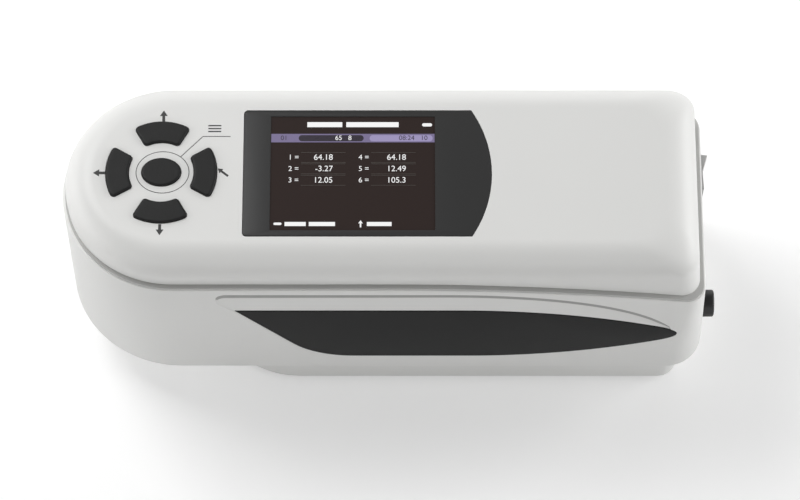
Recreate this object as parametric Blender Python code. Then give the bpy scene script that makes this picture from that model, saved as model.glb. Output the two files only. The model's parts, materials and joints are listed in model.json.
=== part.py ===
"""A hand-held colorimeter, standing on its base. Metres, +Z up, +X towards the measuring end."""

import math

import bmesh
import bpy
from mathutils import Matrix, Vector

# Overall sizes and fits
LENGTH = 0.2066
HEIGHT = 0.095
FIT_GAP = 0.0003
OVERRUN = 0.002
SINK = 0.0005
WELD = 0.000003
SMOOTH_ANGLE = math.radians(32)

# Lower housing: outline at its foot, and how much each wall leans in towards the lip
FOOT_HALF_WIDTH = 0.0340
SIDE_DRAFT = 0.0010
END_DRAFT = 0.0023
NOSE_STRETCH = 0.0018
HOUSING_CORNER = 0.0080
BASE_SHARE = 0.2
HOUSING_EDGE = 0.0012
HOUSING_WALL = 0.0024
HOUSING_FLOOR = 0.0024
BUTTON_PROUD = 0.0030

# Seam: level over the keypad half, then a long arc down to the measuring end
COVER_DEPTH = 0.0152
SEAM_FROM_END = 0.1024
SEAM_RADIUS = 0.484
SEAM_GROOVE = 0.0014
GASKET_INSET = 0.0002
GASKET_WIDTH = 0.0030

# Upper cover
COVER_STEP = 0.0014
COVER_END_STEP = 0.0019
COVER_CORNER = 0.0065
COVER_WALL = 0.0024
COVER_ROUND = 0.0090
COVER_END_ROUND = 0.0123

# Finger recess and grip on each side, from the case's nose, end, lip and foot
RECESS_DEPTH = 0.0012
RECESS_BELOW_LIP = 0.0035
RECESS_FROM_NOSE = 0.0489
RECESS_SHOULDER = 0.0058
RECESS_CORNER = 0.0034
RECESS_BEND_FROM_END = 0.0835
RECESS_PULL_FROM_END = 0.0505
RECESS_FALL_FROM_END = 0.0225
RECESS_FALL = 0.0088
RECESS_FROM_END = 0.0120
RECESS_END_RISE = 0.00016
GRIP_BELOW_LIP = 0.0155
GRIP_ABOVE_FOOT = 0.0094
GRIP_FROM_NOSE = 0.0546
GRIP_HEEL_LENGTH = 0.0306
GRIP_HEEL_RADIUS = 0.012
GRIP_TOP_BEND_FROM_END = 0.0793
GRIP_TOP_FALL = 0.389
GRIP_BOTTOM_BEND_FROM_END = 0.0760
GRIP_BOTTOM_RISE = 0.38
GRIP_FROM_END = 0.0135
GRIP_NOSE_REACH = 0.0036
GRIP_PROUD = 0.00015

# Base block
BASE_STEP = 0.0037
BASE_NOSE_SETBACK = 0.0374
BASE_END_STEP = 0.0069
BASE_CORNER = 0.0060
BASE_EDGE = 0.0008
BASE_WALL = 0.0022
BASE_FLOOR = 0.0030
BASE_CLEARANCE = 0.0008
PAD_RADIUS = 0.0022
PAD_SEAT = 0.0007
PAD_NOSE_SHIFT = 0.0021
PAD_NOSE_INSET = 0.0036
PAD_FROM_END = 0.0094
PAD_END_INSET = 0.0063

# Battery door, its rails, and the pack above it
DOOR_FROM_SIDE = 0.0083
DOOR_PLATE = 0.0007
DOOR_RAIL = 0.0016
DOOR_FLANGE = 0.0008
DOOR_OVERLAP = 0.0060
BAY_FROM_SCREW = 0.0055
BAY_FROM_END = 0.0763
BAY_FROM_SIDE = 0.0108
PACK_MARGIN = 0.0008
PACK_HEADROOM = 0.0009
PACK_EDGE = 0.0012

# Display
WINDOW_FROM_NOSE = 0.05775
WINDOW_FROM_END = 0.0754
WINDOW_BULGE = 0.0062
WINDOW_FROM_SIDE = 0.0126
WINDOW_CORNER = 0.0013
WINDOW_THICKNESS = 0.0015
WINDOW_GAP = 0.00015
SCREEN_NOSE_MARGIN = 0.00845
SCREEN_END_MARGIN = 0.0113
SCREEN_SIDE_MARGIN = 0.00215
SCREEN_MARGIN = 0.0008
MODULE_END_RIM = 0.00365
MODULE_SIDE_RIM = 0.00225
GLASS_RISE = 0.0009

# Keypad
KEYPAD_FROM_NOSE = 0.0326
KEY_OUTER_RADIUS = 0.0173
KEY_INNER_RADIUS = 0.0101
KEY_HALF_ANGLE = math.radians(30)
KEY_CORNER = 0.0011
ENTER_LENGTH = 0.0121
ENTER_WIDTH = 0.0096
KEY_PROUD = 0.0005
KEY_CROWN = 0.0004
KEY_GAP = 0.0002
KEY_FLANGE = 0.0008
KEY_FLANGE_THICKNESS = 0.0011
KEY_TRAVEL = 0.0009
MAT_RADIUS = 0.0189
MAT_THICKNESS = 0.0006
MAT_DOME_RADIUS = 0.0022
MAT_DOME_HEIGHT = 0.0006
KEYPAD_BOARD_SIDE = 0.0390
KEYPAD_POST_OFFSET = 0.0155

# Circuit boards and their screws
BOARD_THICKNESS = 0.0016
BOARD_FROM_NOSE = 0.0563
BOARD_FROM_END = 0.0503
BOARD_FROM_SIDE = 0.0095
BOARD_DROP = 0.0094
POST_RADIUS = 0.0019
BOARD_POST_INSET = 0.0034
BOARD_POST_END_INSET = 0.0060
BOARD_POST_SIDE_INSET = 0.0040
SMALL_SHANK = 0.0008
SMALL_HEAD = 0.0017
SMALL_HEAD_HEIGHT = 0.0013
SMALL_GRIP = 0.0030
CHIP_LENGTH = 0.0140
CHIP_HEIGHT = 0.0014
CHIP_SHIFT = 0.0035
CELL_RADIUS = 0.0050
CELL_HEIGHT = 0.0030
CELL_FROM_END = 0.0170
CELL_Y = 0.0100

# Case screws and their columns
COLUMN_FROM_NOSE = 0.0513
COLUMN_FROM_END = 0.0213
COLUMN_FROM_SIDE = 0.0080
COLUMN_RADIUS = 0.0034
COLUMN_BELOW_LIP = 0.0138
COLUMN_SHOULDER = 0.0060
BOSS_RADIUS = 0.0030
BOSS_DROP = 0.0047
SCREW_SHANK = 0.0011
SCREW_HEAD = 0.0023
SCREW_HEAD_HEIGHT = 0.0018
SCREW_BITE = 0.0080
SOCKET_RADIUS = 0.0010
SOCKET_DEPTH = 0.0009

# Base screws
BASE_SCREW_FROM_NOSE = 0.0538
BASE_SCREW_LEFT_Y = 0.0120
BASE_SCREW_FROM_END = 0.0660
BASE_SCREW_FROM_SIDE = 0.0093
BASE_COLUMN = 0.0036
BASE_SHOULDER = 0.0050
BASE_BITE = 0.0035

# Measuring optics, on a vertical axis
OPTICS_FROM_END = 0.0383
SPHERE_OUTER = 0.0180
SPHERE_INNER = 0.0155
SPHERE_ABOVE_FLOOR = 0.00705
SPHERE_FLANGE = 0.0220
SPHERE_FLANGE_THICKNESS = 0.0020
SAMPLE_PORT = 0.0050
APERTURE_RADIUS = 0.0040
PLATE_RADIUS = 0.0130
PLATE_THICKNESS = 0.0018
NOSE_RADIUS = 0.0090
NOSE_FLANGE = 0.0120
NOSE_FLANGE_THICKNESS = 0.0014
CHASSIS_HALF_LENGTH = 0.0240
CHASSIS_GAP = 0.0004
CHASSIS_THICKNESS = 0.0018
CHASSIS_LEG_X = 0.0205
CHASSIS_LEG_INSET = 0.0032
CHASSIS_LEG_RADIUS = 0.0028
DETECTOR_TILT = math.radians(8)
LAMP_TILT = math.radians(-52)
CAMERA_TILT = math.radians(48)
BARREL_LENGTH = 0.0160
BARREL_RADIUS = 0.0055
BARREL_BORE = 0.0040
LENS_THICKNESS = 0.0022
LENS_OFFSET = 0.0060
DETECTOR_BOARD_SIDE = 0.0240
LAMP_LENGTH = 0.0100
LAMP_RADIUS = 0.0050
LAMP_BOARD_SIDE = 0.0160
CAMERA_LENGTH = 0.0080
CAMERA_RADIUS = 0.0032
CAMERA_BODY_SIDE = 0.0085
CAMERA_BODY_LENGTH = 0.0045

# Interface panel on the measuring end
PANEL_FROM_SIDE = 0.0088
PANEL_ABOVE_FOOT = 0.0072
PANEL_BELOW_LIP = 0.0143
PANEL_RECESS = 0.0006
PANEL_FLANGE = 0.0013
PANEL_FLANGE_THICKNESS = 0.0012
PANEL_PEG_RADIUS = 0.0015
PANEL_PEG_SIDE_INSET = 0.0037
PANEL_PEG_INSET = 0.0024
INTERFACE_BOARD_FROM_END = 0.0123
INTERFACE_BOARD_INSET = 0.0017
ROCKER_FROM_SIDE = 0.0087
PORTS_BELOW_TOP = 0.0080
ROCKER_LENGTH = 0.0114
ROCKER_WIDTH = 0.0074
ROCKER_ANGLE = math.radians(7)
ROCKER_CROWN = 0.0010
ROCKER_DEPTH = 0.0034
SWITCH_LENGTH = 0.0136
SWITCH_WIDTH = 0.0094
SWITCH_FLANGE = 0.0011
SWITCH_FLANGE_THICKNESS = 0.0007
SWITCH_RIM = 0.0006
USB_SHARE = 0.24
USB_LENGTH = 0.0089
USB_WIDTH = 0.0045
USB_WALL = 0.0005
USB_DEPTH = 0.0060
JACK_SHARE = 0.34
JACK_SIDE = 0.0096
JACK_BORE = 0.0030
JACK_PIN = 0.0009
JACK_DEPTH = 0.0070

# Measure button
MEASURE_FROM_SIDE = 0.0064
MEASURE_SHARE = 0.25
MEASURE_RADIUS = 0.00435
MEASURE_ROUND = 0.0007
MEASURE_FLANGE = 0.0010
MEASURE_FLANGE_THICKNESS = 0.0012
MEASURE_TRAVEL = 0.0018
MEASURE_SLACK = 0.0009
MEASURE_SWITCH_SIDE = 0.0060
MEASURE_PLUNGER = 0.0017
MEASURE_PLUNGER_LENGTH = 0.0008

# Ribbon cable between the interface board and the main board
RIBBON_WIDTH = 0.0140
RIBBON_THICKNESS = 0.0004
RIBBON_START_DROP = 0.0155
RIBBON_TURN_DROP = 0.0086
RIBBON_TURN = 0.0060
RIBBON_BEND = 0.0020

# Facets
NOSE_STEPS = 26
SIDE_STEPS = 9
CORNER_STEPS = 5
KEY_CORNER_STEPS = 3
KEY_ARC_STEPS = 6
ROUND_STEPS = 6
INNER_ROUND_STEPS = 2
ROUND_SIDES = 20
SMALL_SIDES = 10
ARC_STEPS = 10
SPHERE_STEPS = 5


def radius_of(run, rise):
    """Radius of an arc that leaves its tangent by a rise over a run."""
    return (run**2 + rise**2) / (2 * rise)


# The case, placed from the sizes above
LEFT_X = -LENGTH / 2
RIGHT_X = LENGTH / 2 - BUTTON_PROUD
NOSE_X = LEFT_X + FOOT_HALF_WIDTH + NOSE_STRETCH
HOUSING_BOTTOM = BASE_SHARE * HEIGHT
WALL_FOOT_Z = HOUSING_BOTTOM + HOUSING_EDGE
FLOOR_Z = HOUSING_BOTTOM + HOUSING_FLOOR
LIP_Z = HEIGHT - COVER_DEPTH
SEAM_START_X = RIGHT_X - SEAM_FROM_END
LIP_HALF_WIDTH = FOOT_HALF_WIDTH - SIDE_DRAFT
LIP_RIGHT_X = RIGHT_X - END_DRAFT
COVER_HALF_WIDTH = LIP_HALF_WIDTH - COVER_STEP
COVER_RIGHT_X = LIP_RIGHT_X - COVER_END_STEP
CEILING_Z = HEIGHT - COVER_WALL

# Recess and grip, placed from the sizes above
RECESS_TOP_Z = LIP_Z - RECESS_BELOW_LIP
RECESS_LEFT_X = LEFT_X + RECESS_FROM_NOSE
RECESS_SHOULDER_Z = RECESS_TOP_Z - RECESS_SHOULDER
RECESS_BEND_X = RIGHT_X - RECESS_BEND_FROM_END
RECESS_PULL_X = RIGHT_X - RECESS_PULL_FROM_END
RECESS_FALL_X = RIGHT_X - RECESS_FALL_FROM_END
RECESS_FALL_Z = RECESS_TOP_Z - RECESS_FALL
RECESS_END_X = RIGHT_X - RECESS_FROM_END
GRIP_TOP_Z = LIP_Z - GRIP_BELOW_LIP
GRIP_BOTTOM_Z = HOUSING_BOTTOM + GRIP_ABOVE_FOOT
GRIP_LEFT_X = LEFT_X + GRIP_FROM_NOSE
GRIP_HEEL_X = GRIP_LEFT_X + GRIP_HEEL_LENGTH
GRIP_TOP_BEND_X = RIGHT_X - GRIP_TOP_BEND_FROM_END
GRIP_BOTTOM_BEND_X = RIGHT_X - GRIP_BOTTOM_BEND_FROM_END
GRIP_NOSE_X = RIGHT_X - GRIP_FROM_END
GRIP_HEIGHT = GRIP_TOP_Z - GRIP_BOTTOM_Z
GRIP_TOP_RADIUS = radius_of(GRIP_NOSE_X - GRIP_TOP_BEND_X, GRIP_TOP_FALL * GRIP_HEIGHT)
GRIP_BOTTOM_RADIUS = radius_of(GRIP_NOSE_X - GRIP_BOTTOM_BEND_X, GRIP_BOTTOM_RISE * GRIP_HEIGHT)
RECESS_END_Z = GRIP_TOP_Z - GRIP_TOP_FALL * GRIP_HEIGHT + RECESS_END_RISE

# Base, door and pack, placed from the sizes above
BASE_TOP_Z = HOUSING_BOTTOM - FIT_GAP
BASE_FLOOR_Z = BASE_CLEARANCE + BASE_FLOOR
DOOR_TOP_Z = BASE_CLEARANCE + DOOR_PLATE + DOOR_FLANGE
BASE_HALF_WIDTH = FOOT_HALF_WIDTH - BASE_STEP
BASE_NOSE_X = NOSE_X + BASE_NOSE_SETBACK
BASE_RIGHT_X = RIGHT_X - BASE_END_STEP
PAD_NOSE_X = BASE_NOSE_X + PAD_NOSE_SHIFT
PAD_NOSE_Y = BASE_HALF_WIDTH - PAD_NOSE_INSET
PAD_END_X = BASE_RIGHT_X - PAD_FROM_END
PAD_END_Y = BASE_HALF_WIDTH - PAD_END_INSET
DOOR_HALF_WIDTH = BASE_HALF_WIDTH - DOOR_FROM_SIDE
BAY_RIGHT_X = RIGHT_X - BAY_FROM_END
BAY_HALF_WIDTH = BASE_HALF_WIDTH - BAY_FROM_SIDE
DOOR_RIGHT_X = BAY_RIGHT_X + DOOR_OVERLAP
BASE_SCREW_LEFT_X = LEFT_X + BASE_SCREW_FROM_NOSE
BASE_SCREW_RIGHT_X = RIGHT_X - BASE_SCREW_FROM_END
BASE_SCREW_RIGHT_Y = BASE_HALF_WIDTH - BASE_SCREW_FROM_SIDE
BAY_LEFT_X = BASE_SCREW_LEFT_X + BAY_FROM_SCREW
BASE_SHOULDER_Z = HOUSING_BOTTOM - BASE_SHOULDER
PACK_HEIGHT = BASE_TOP_Z - DOOR_TOP_Z - PACK_HEADROOM

# Display and keypad, placed from the sizes above
WINDOW_LEFT_X = LEFT_X + WINDOW_FROM_NOSE
WINDOW_RIGHT_X = RIGHT_X - WINDOW_FROM_END
WINDOW_HALF_WIDTH = FOOT_HALF_WIDTH - WINDOW_FROM_SIDE
KEYPAD_X = LEFT_X + KEYPAD_FROM_NOSE
SCREEN_LENGTH = WINDOW_RIGHT_X - SCREEN_END_MARGIN - WINDOW_LEFT_X - SCREEN_NOSE_MARGIN
SCREEN_X = WINDOW_LEFT_X + SCREEN_NOSE_MARGIN + SCREEN_LENGTH / 2
SCREEN_WIDTH = 2 * (WINDOW_HALF_WIDTH - SCREEN_SIDE_MARGIN)
MODULE_LENGTH = SCREEN_LENGTH + 2 * MODULE_END_RIM
MODULE_WIDTH = SCREEN_WIDTH + 2 * MODULE_SIDE_RIM
KEY_BOTTOM_Z = CEILING_Z - FIT_GAP - KEY_FLANGE_THICKNESS
MAT_TOP_Z = KEY_BOTTOM_Z - KEY_TRAVEL - FIT_GAP
MAT_BOTTOM_Z = MAT_TOP_Z - MAT_DOME_HEIGHT - MAT_THICKNESS
KEYPAD_BOARD_TOP_Z = MAT_BOTTOM_Z - FIT_GAP
WINDOW_FLOOR_Z = HEIGHT - WINDOW_THICKNESS - FIT_GAP

# Boards and columns, placed from the sizes above
BOARD_LEFT_X = LEFT_X + BOARD_FROM_NOSE
BOARD_RIGHT_X = RIGHT_X - BOARD_FROM_END
BOARD_HALF_WIDTH = FOOT_HALF_WIDTH - BOARD_FROM_SIDE
BOARD_TOP_Z = HEIGHT - BOARD_DROP
BOARD_POST_LEFT_X = BOARD_LEFT_X + BOARD_POST_INSET
BOARD_POST_RIGHT_X = BOARD_RIGHT_X - BOARD_POST_END_INSET
BOARD_POST_Y = BOARD_HALF_WIDTH - BOARD_POST_SIDE_INSET
CELL_X = BOARD_RIGHT_X - CELL_FROM_END
COLUMN_LEFT_X = LEFT_X + COLUMN_FROM_NOSE
COLUMN_RIGHT_X = RIGHT_X - COLUMN_FROM_END
COLUMN_Y = FOOT_HALF_WIDTH - COLUMN_FROM_SIDE
COLUMN_TOP_Z = LIP_Z - COLUMN_BELOW_LIP
BOSS_TOP_Z = HEIGHT - BOSS_DROP
CHIP_X = (BOARD_LEFT_X + BOARD_RIGHT_X) / 2 + CHIP_SHIFT

# Measuring end, placed from the sizes above
OPTICS_X = RIGHT_X - OPTICS_FROM_END
SPHERE_Z = FLOOR_Z + SPHERE_ABOVE_FLOOR
CHASSIS_HALF_WIDTH = COLUMN_Y - COLUMN_RADIUS - CHASSIS_GAP
CHASSIS_LEG_Y = CHASSIS_HALF_WIDTH - CHASSIS_LEG_INSET
PANEL_HALF_WIDTH = FOOT_HALF_WIDTH - PANEL_FROM_SIDE
PANEL_BOTTOM_Z = HOUSING_BOTTOM + PANEL_ABOVE_FOOT
PANEL_TOP_Z = LIP_Z - PANEL_BELOW_LIP
PANEL_PEG_Y = PANEL_HALF_WIDTH - PANEL_PEG_SIDE_INSET
INTERFACE_BOARD_X = RIGHT_X - INTERFACE_BOARD_FROM_END
INTERFACE_BOARD_HALF_WIDTH = PANEL_HALF_WIDTH - INTERFACE_BOARD_INSET
ROCKER_Y = PANEL_HALF_WIDTH - ROCKER_FROM_SIDE
RIBBON_START_Z = PANEL_TOP_Z - RIBBON_START_DROP
RIBBON_TURN_Z = BOARD_TOP_Z - RIBBON_TURN_DROP
MEASURE_Z = PANEL_BOTTOM_Z + MEASURE_SHARE * (PANEL_TOP_Z - PANEL_BOTTOM_Z)
MEASURE_Y = MEASURE_FROM_SIDE - PANEL_HALF_WIDTH
SWITCH_LEFT_Y = ROCKER_Y - SWITCH_LENGTH / 2 - SWITCH_FLANGE
PORT_ROOM = SWITCH_LEFT_Y + PANEL_HALF_WIDTH - USB_LENGTH - JACK_SIDE
USB_Y = SWITCH_LEFT_Y - USB_SHARE * PORT_ROOM - USB_LENGTH / 2
JACK_Y = USB_Y - USB_LENGTH / 2 - JACK_SHARE * PORT_ROOM - JACK_SIDE / 2
ROCKER_Z = PANEL_TOP_Z - PORTS_BELOW_TOP
USB_Z = ROCKER_Z
JACK_Z = ROCKER_Z

# Shank radius, head radius and head height of each kind of screw
CASE_SCREW = (SCREW_SHANK, SCREW_HEAD, SCREW_HEAD_HEIGHT)
SMALL_SCREW = (SMALL_SHANK, SMALL_HEAD, SMALL_HEAD_HEIGHT)

# Colour, roughness and metallic value of each finish
WHITE_ABS = ((0.80, 0.80, 0.79), 0.42, 0.0)
GREY_SILICONE = ((0.27, 0.27, 0.27), 0.70, 0.0)
BLACK_RUBBER = ((0.03, 0.03, 0.03), 0.75, 0.0)
BLACK_ABS = ((0.025, 0.025, 0.025), 0.45, 0.0)
DARK_ACRYLIC = ((0.04, 0.04, 0.04), 0.12, 0.0)
GLASS_DARK = ((0.02, 0.018, 0.018), 0.20, 0.0)
BOARD_GREEN = ((0.02, 0.12, 0.06), 0.45, 0.0)
STEEL = ((0.55, 0.55, 0.56), 0.30, 1.0)
ALUMINIUM = ((0.60, 0.60, 0.61), 0.35, 1.0)
DIFFUSE_WHITE = ((0.90, 0.90, 0.89), 0.95, 0.0)
PACK_BLUE = ((0.03, 0.10, 0.25), 0.35, 0.0)
LENS_GLASS = ((0.55, 0.62, 0.65), 0.05, 0.0)
POLYESTER = ((0.60, 0.62, 0.62), 0.40, 0.0)


def finish_object(obj, look):
    """Give an object its own material and smooth its round faces."""
    colour, roughness, metallic = look
    material = bpy.data.materials.new(obj.name + "_finish")
    material.use_nodes = True
    shader = material.node_tree.nodes["Principled BSDF"]
    shader.inputs["Base Color"].default_value = (*colour, 1)
    shader.inputs["Roughness"].default_value = roughness
    shader.inputs["Metallic"].default_value = metallic
    obj.data.materials.append(material)
    obj.data.shade_smooth()
    obj.data.set_sharp_from_angle(angle=SMOOTH_ANGLE)
    return obj


def object_from(name, bm, look=None, at=(0, 0, 0)):
    """Make an object from a bmesh; without a look it is a hidden helper for Booleans."""
    bmesh.ops.recalc_face_normals(bm, faces=bm.faces)
    mesh = bpy.data.meshes.new(name)
    bm.to_mesh(mesh)
    bm.free()
    obj = bpy.data.objects.new(name, mesh)
    obj.location = at
    bpy.context.scene.collection.objects.link(obj)
    if look:
        return finish_object(obj, look)
    obj.hide_render = True
    obj.display_type = "WIRE"
    return obj


def combine(obj, operation, helpers):
    for helper in helpers:
        modifier = obj.modifiers.new(helper.name, "BOOLEAN")
        modifier.operation = operation
        modifier.object = helper
    return obj


def cut(obj, *cutters):
    return combine(obj, "DIFFERENCE", cutters)


def join(obj, *pieces):
    return combine(obj, "UNION", pieces)


def lofted(rings):
    """A closed solid through rings of points with equal counts; the first and last are capped."""
    bm = bmesh.new()
    loops = [[bm.verts.new(point) for point in ring] for ring in rings]
    for low, high in zip(loops, loops[1:]):
        for i in range(len(low)):
            j = (i + 1) % len(low)
            bm.faces.new((low[i], low[j], high[j], high[i]))
    bm.faces.new(loops[0])
    bm.faces.new(loops[-1])
    return bm


def ring_lofted(rings):
    """A closed tube of rings whose last ring meets its first, such as a frame or a gasket."""
    bm = bmesh.new()
    loops = [[bm.verts.new(point) for point in ring] for ring in rings]
    for low, high in zip(loops, loops[1:] + loops[:1]):
        for i in range(len(low)):
            j = (i + 1) % len(low)
            bm.faces.new((low[i], low[j], high[j], high[i]))
    return bm


def prism(points, bottom, top):
    """An outline in plan between two heights."""
    return lofted([[(x, y, bottom) for x, y in points], [(x, y, top) for x, y in points]])


def block(low, high):
    """A box between two corners."""
    corners = [(low[0], low[1]), (high[0], low[1]), (high[0], high[1]), (low[0], high[1])]
    return prism(corners, low[2], high[2])


def centred_box(length, width, bottom, top):
    return block((-length / 2, -width / 2, bottom), (length / 2, width / 2, top))


def aim(direction):
    return Vector(direction).to_track_quat("Z", "Y").to_matrix().to_4x4()


def rod(radius, start, end, sides=ROUND_SIDES):
    """A round bar between two points."""
    start, end = Vector(start), Vector(end)
    bm = bmesh.new()
    place = Matrix.Translation((start + end) / 2) @ aim(end - start)
    length = (end - start).length
    bmesh.ops.create_cone(
        bm, cap_ends=True, segments=sides, radius1=radius, radius2=radius, depth=length, matrix=place
    )
    return bm


def turned(profile, sides=ROUND_SIDES):
    """A closed outline of (radius, height) points spun round the vertical axis."""
    bm = bmesh.new()
    loop = [bm.verts.new((radius, 0, height)) for radius, height in profile]
    edges = [bm.edges.new((a, b)) for a, b in zip(loop, loop[1:] + loop[:1])]
    bmesh.ops.spin(
        bm, geom=loop + edges, axis=(0, 0, 1), cent=(0, 0, 0), angle=math.tau, steps=sides, use_merge=True
    )
    bmesh.ops.remove_doubles(bm, verts=bm.verts, dist=WELD)
    return bm


def moved(bm, matrix):
    bmesh.ops.transform(bm, matrix=matrix, verts=bm.verts)
    return bm


def arc(centre, radius, start, end, steps):
    """Points on an arc in plan, from one angle to another."""
    angles = [start + (end - start) * i / steps for i in range(steps + 1)]
    return [(centre[0] + radius * math.cos(a), centre[1] + radius * math.sin(a)) for a in angles]


def rounded(points, radii, steps=CORNER_STEPS):
    """An outline with each corner rounded to its radius."""
    result = []
    for i, point in enumerate(points):
        corner = Vector(point)
        before = (Vector(points[i - 1]) - corner).normalized()
        after = (Vector(points[(i + 1) % len(points)]) - corner).normalized()
        if not radii[i]:
            result.append(tuple(corner))
            continue
        half = before.angle(after) / 2
        middle = corner + (before + after).normalized() * radii[i] / math.sin(half)
        first = (corner + before * radii[i] / math.tan(half) - middle).normalized()
        last = (corner + after * radii[i] / math.tan(half) - middle).normalized()
        for step in range(steps + 1):
            result.append(tuple(middle + first.slerp(last, step / steps) * radii[i]))
    return result


def rounded_box(half_length, half_width, radius):
    corners = [
        (-half_length, -half_width),
        (half_length, -half_width),
        (half_length, half_width),
        (-half_length, half_width),
    ]
    return rounded(corners, [radius] * len(corners))


def grown(points, distance):
    """An outline, running anticlockwise, moved outwards by a distance."""
    result = []
    for i, point in enumerate(points):
        here = Vector(point)
        before = (here - Vector(points[i - 1])).normalized()
        after = (Vector(points[(i + 1) % len(points)]) - here).normalized()
        out = Vector((before.y + after.y, -before.x - after.x)).normalized()
        turn = math.cos(before.angle(after) / 2)
        result.append(tuple(here + out * distance / turn))
    return result


def mirrored_pair(name, make):
    """The front and rear copies of a side piece: make(side) with side -1 in front, +1 at the rear."""
    return [make(name + ending, side) for ending, side in (("_front", -1), ("_rear", 1))]


def body_outline(half_width, nose_reach, right_x, corner, nose_x=NOSE_X):
    """Plan of a shell: a half-ellipse at the keypad end and a square end with round corners."""
    points = []
    for i in range(NOSE_STEPS + 1):
        angle = math.pi / 2 + math.pi * i / NOSE_STEPS
        points.append((nose_x + nose_reach * math.cos(angle), half_width * math.sin(angle)))
    corner_x = right_x - corner
    for i in range(1, SIDE_STEPS):
        points.append((nose_x + (corner_x - nose_x) * i / SIDE_STEPS, -half_width))
    points += arc((corner_x, corner - half_width), corner, -math.pi / 2, 0, CORNER_STEPS)
    points += arc((corner_x, half_width - corner), corner, 0, math.pi / 2, CORNER_STEPS)
    for i in range(1, SIDE_STEPS):
        points.append((corner_x + (nose_x - corner_x) * i / SIDE_STEPS, half_width))
    return points


def seam_drop(x):
    """How far the seam has fallen at x."""
    run = max(x - SEAM_START_X, 0)
    return SEAM_RADIUS - math.sqrt(SEAM_RADIUS**2 - run**2)


def lip_z(x):
    return LIP_Z - seam_drop(x)


def flat_ring(points, height):
    return [(x, y, height) for x, y in points]


def seam_ring(points, rise):
    """A ring that follows the seam, this far above the housing's lip."""
    return [(x, y, lip_z(x) + rise) for x, y in points]


def housing_outline(inset, share):
    """Outline of the housing's wall: share 0 at its foot and 1 at its lip."""
    half_width = FOOT_HALF_WIDTH - SIDE_DRAFT * share - inset
    right_x = RIGHT_X - END_DRAFT * share - inset
    return body_outline(half_width, half_width + NOSE_STRETCH, right_x, HOUSING_CORNER - inset)


def wall_share(x, z):
    return (z - WALL_FOOT_Z) / (lip_z(x) - WALL_FOOT_Z)


def side_y(x, z):
    """Half-width of the housing's outer face at a place on its straight side."""
    return FOOT_HALF_WIDTH - SIDE_DRAFT * wall_share(x, z)


def end_x(z):
    """Outer face of the housing's square end at a height."""
    return RIGHT_X - END_DRAFT * wall_share(LIP_RIGHT_X, z)


def cover_ring(wall, lift, turn):
    """Ring of the upper cover: turn 0 where its wall ends, pi/2 where its flat top begins."""
    inset = wall + (COVER_ROUND - wall) * (1 - math.cos(turn))
    end_inset = wall + (COVER_END_ROUND - wall) * (1 - math.cos(turn))
    half_width = COVER_HALF_WIDTH - inset
    right_x = COVER_RIGHT_X - end_inset
    points = body_outline(half_width, half_width + NOSE_STRETCH, right_x, COVER_CORNER - wall)
    return flat_ring(points, HEIGHT - COVER_ROUND + lift * math.sin(turn))


def cover_foot(inset):
    half_width = COVER_HALF_WIDTH - inset
    right_x = COVER_RIGHT_X - inset
    points = body_outline(half_width, half_width + NOSE_STRETCH, right_x, COVER_CORNER - inset)
    return seam_ring(points, SEAM_GROOVE)


def side_slab(points, side, inner, outer):
    """An outline in X and Z laid on the housing's side, from one depth to another below its face."""
    faces = []
    for depth in (inner, outer):
        faces.append([(x, side * (side_y(x, z) - depth), z) for x, z in points])
    return lofted(faces)


def end_slab(half_width, bottom, top, inner, outer):
    """A plate in the housing's square end, from one depth to another below its face."""
    faces = []
    for depth in (inner, outer):
        corners = [(-half_width, bottom), (half_width, bottom), (half_width, top), (-half_width, top)]
        faces.append([(end_x(z) - depth, y, z) for y, z in corners])
    return lofted(faces)


def grip_top(x):
    run = max(x - GRIP_TOP_BEND_X, 0)
    return GRIP_TOP_Z - GRIP_TOP_RADIUS + math.sqrt(GRIP_TOP_RADIUS**2 - run**2)


def grip_bottom(x):
    run = max(x - GRIP_BOTTOM_BEND_X, 0)
    return GRIP_BOTTOM_Z + GRIP_BOTTOM_RADIUS - math.sqrt(GRIP_BOTTOM_RADIUS**2 - run**2)


def grip_nose():
    """Round front end of the grip, from its lower arc to its upper arc."""
    low, high = grip_bottom(GRIP_NOSE_X), grip_top(GRIP_NOSE_X)
    points = []
    for i in range(1, ARC_STEPS):
        angle = math.pi * i / ARC_STEPS - math.pi / 2
        x = GRIP_NOSE_X + GRIP_NOSE_REACH * math.cos(angle)
        points.append((x, (low + high) / 2 + (high - low) / 2 * math.sin(angle)))
    return points


def grip_lower_edge():
    """The grip's slanted heel and lower arc, from its left tip to its nose."""
    sketch = [(GRIP_LEFT_X, GRIP_TOP_Z), (GRIP_HEEL_X, GRIP_BOTTOM_Z), (GRIP_BOTTOM_BEND_X, GRIP_BOTTOM_Z)]
    heel = rounded(sketch, [0, GRIP_HEEL_RADIUS, 0])
    run = GRIP_NOSE_X - GRIP_BOTTOM_BEND_X
    xs = [GRIP_BOTTOM_BEND_X + run * i / ARC_STEPS for i in range(1, ARC_STEPS + 1)]
    return heel + [(x, grip_bottom(x)) for x in xs]


def grip_outline():
    run = GRIP_NOSE_X - GRIP_TOP_BEND_X
    xs = [GRIP_NOSE_X - run * i / ARC_STEPS for i in range(ARC_STEPS + 1)]
    return grip_lower_edge() + grip_nose() + [(x, grip_top(x)) for x in xs]


def recess_crease():
    """Upper edge of the finger recess, from the nose back to its left end."""
    ends = [
        Vector((RECESS_END_X, RECESS_END_Z)),
        Vector((RECESS_FALL_X, RECESS_FALL_Z)),
        Vector((RECESS_PULL_X, RECESS_TOP_Z)),
        Vector((RECESS_BEND_X, RECESS_TOP_Z)),
    ]
    points = []
    for i in range(ARC_STEPS + 1):
        t = i / ARC_STEPS
        weights = ((1 - t) ** 3, 3 * t * (1 - t) ** 2, 3 * t * t * (1 - t), t**3)
        points.append(tuple(sum((w * p for w, p in zip(weights, ends)), Vector((0, 0)))))
    return points


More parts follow.
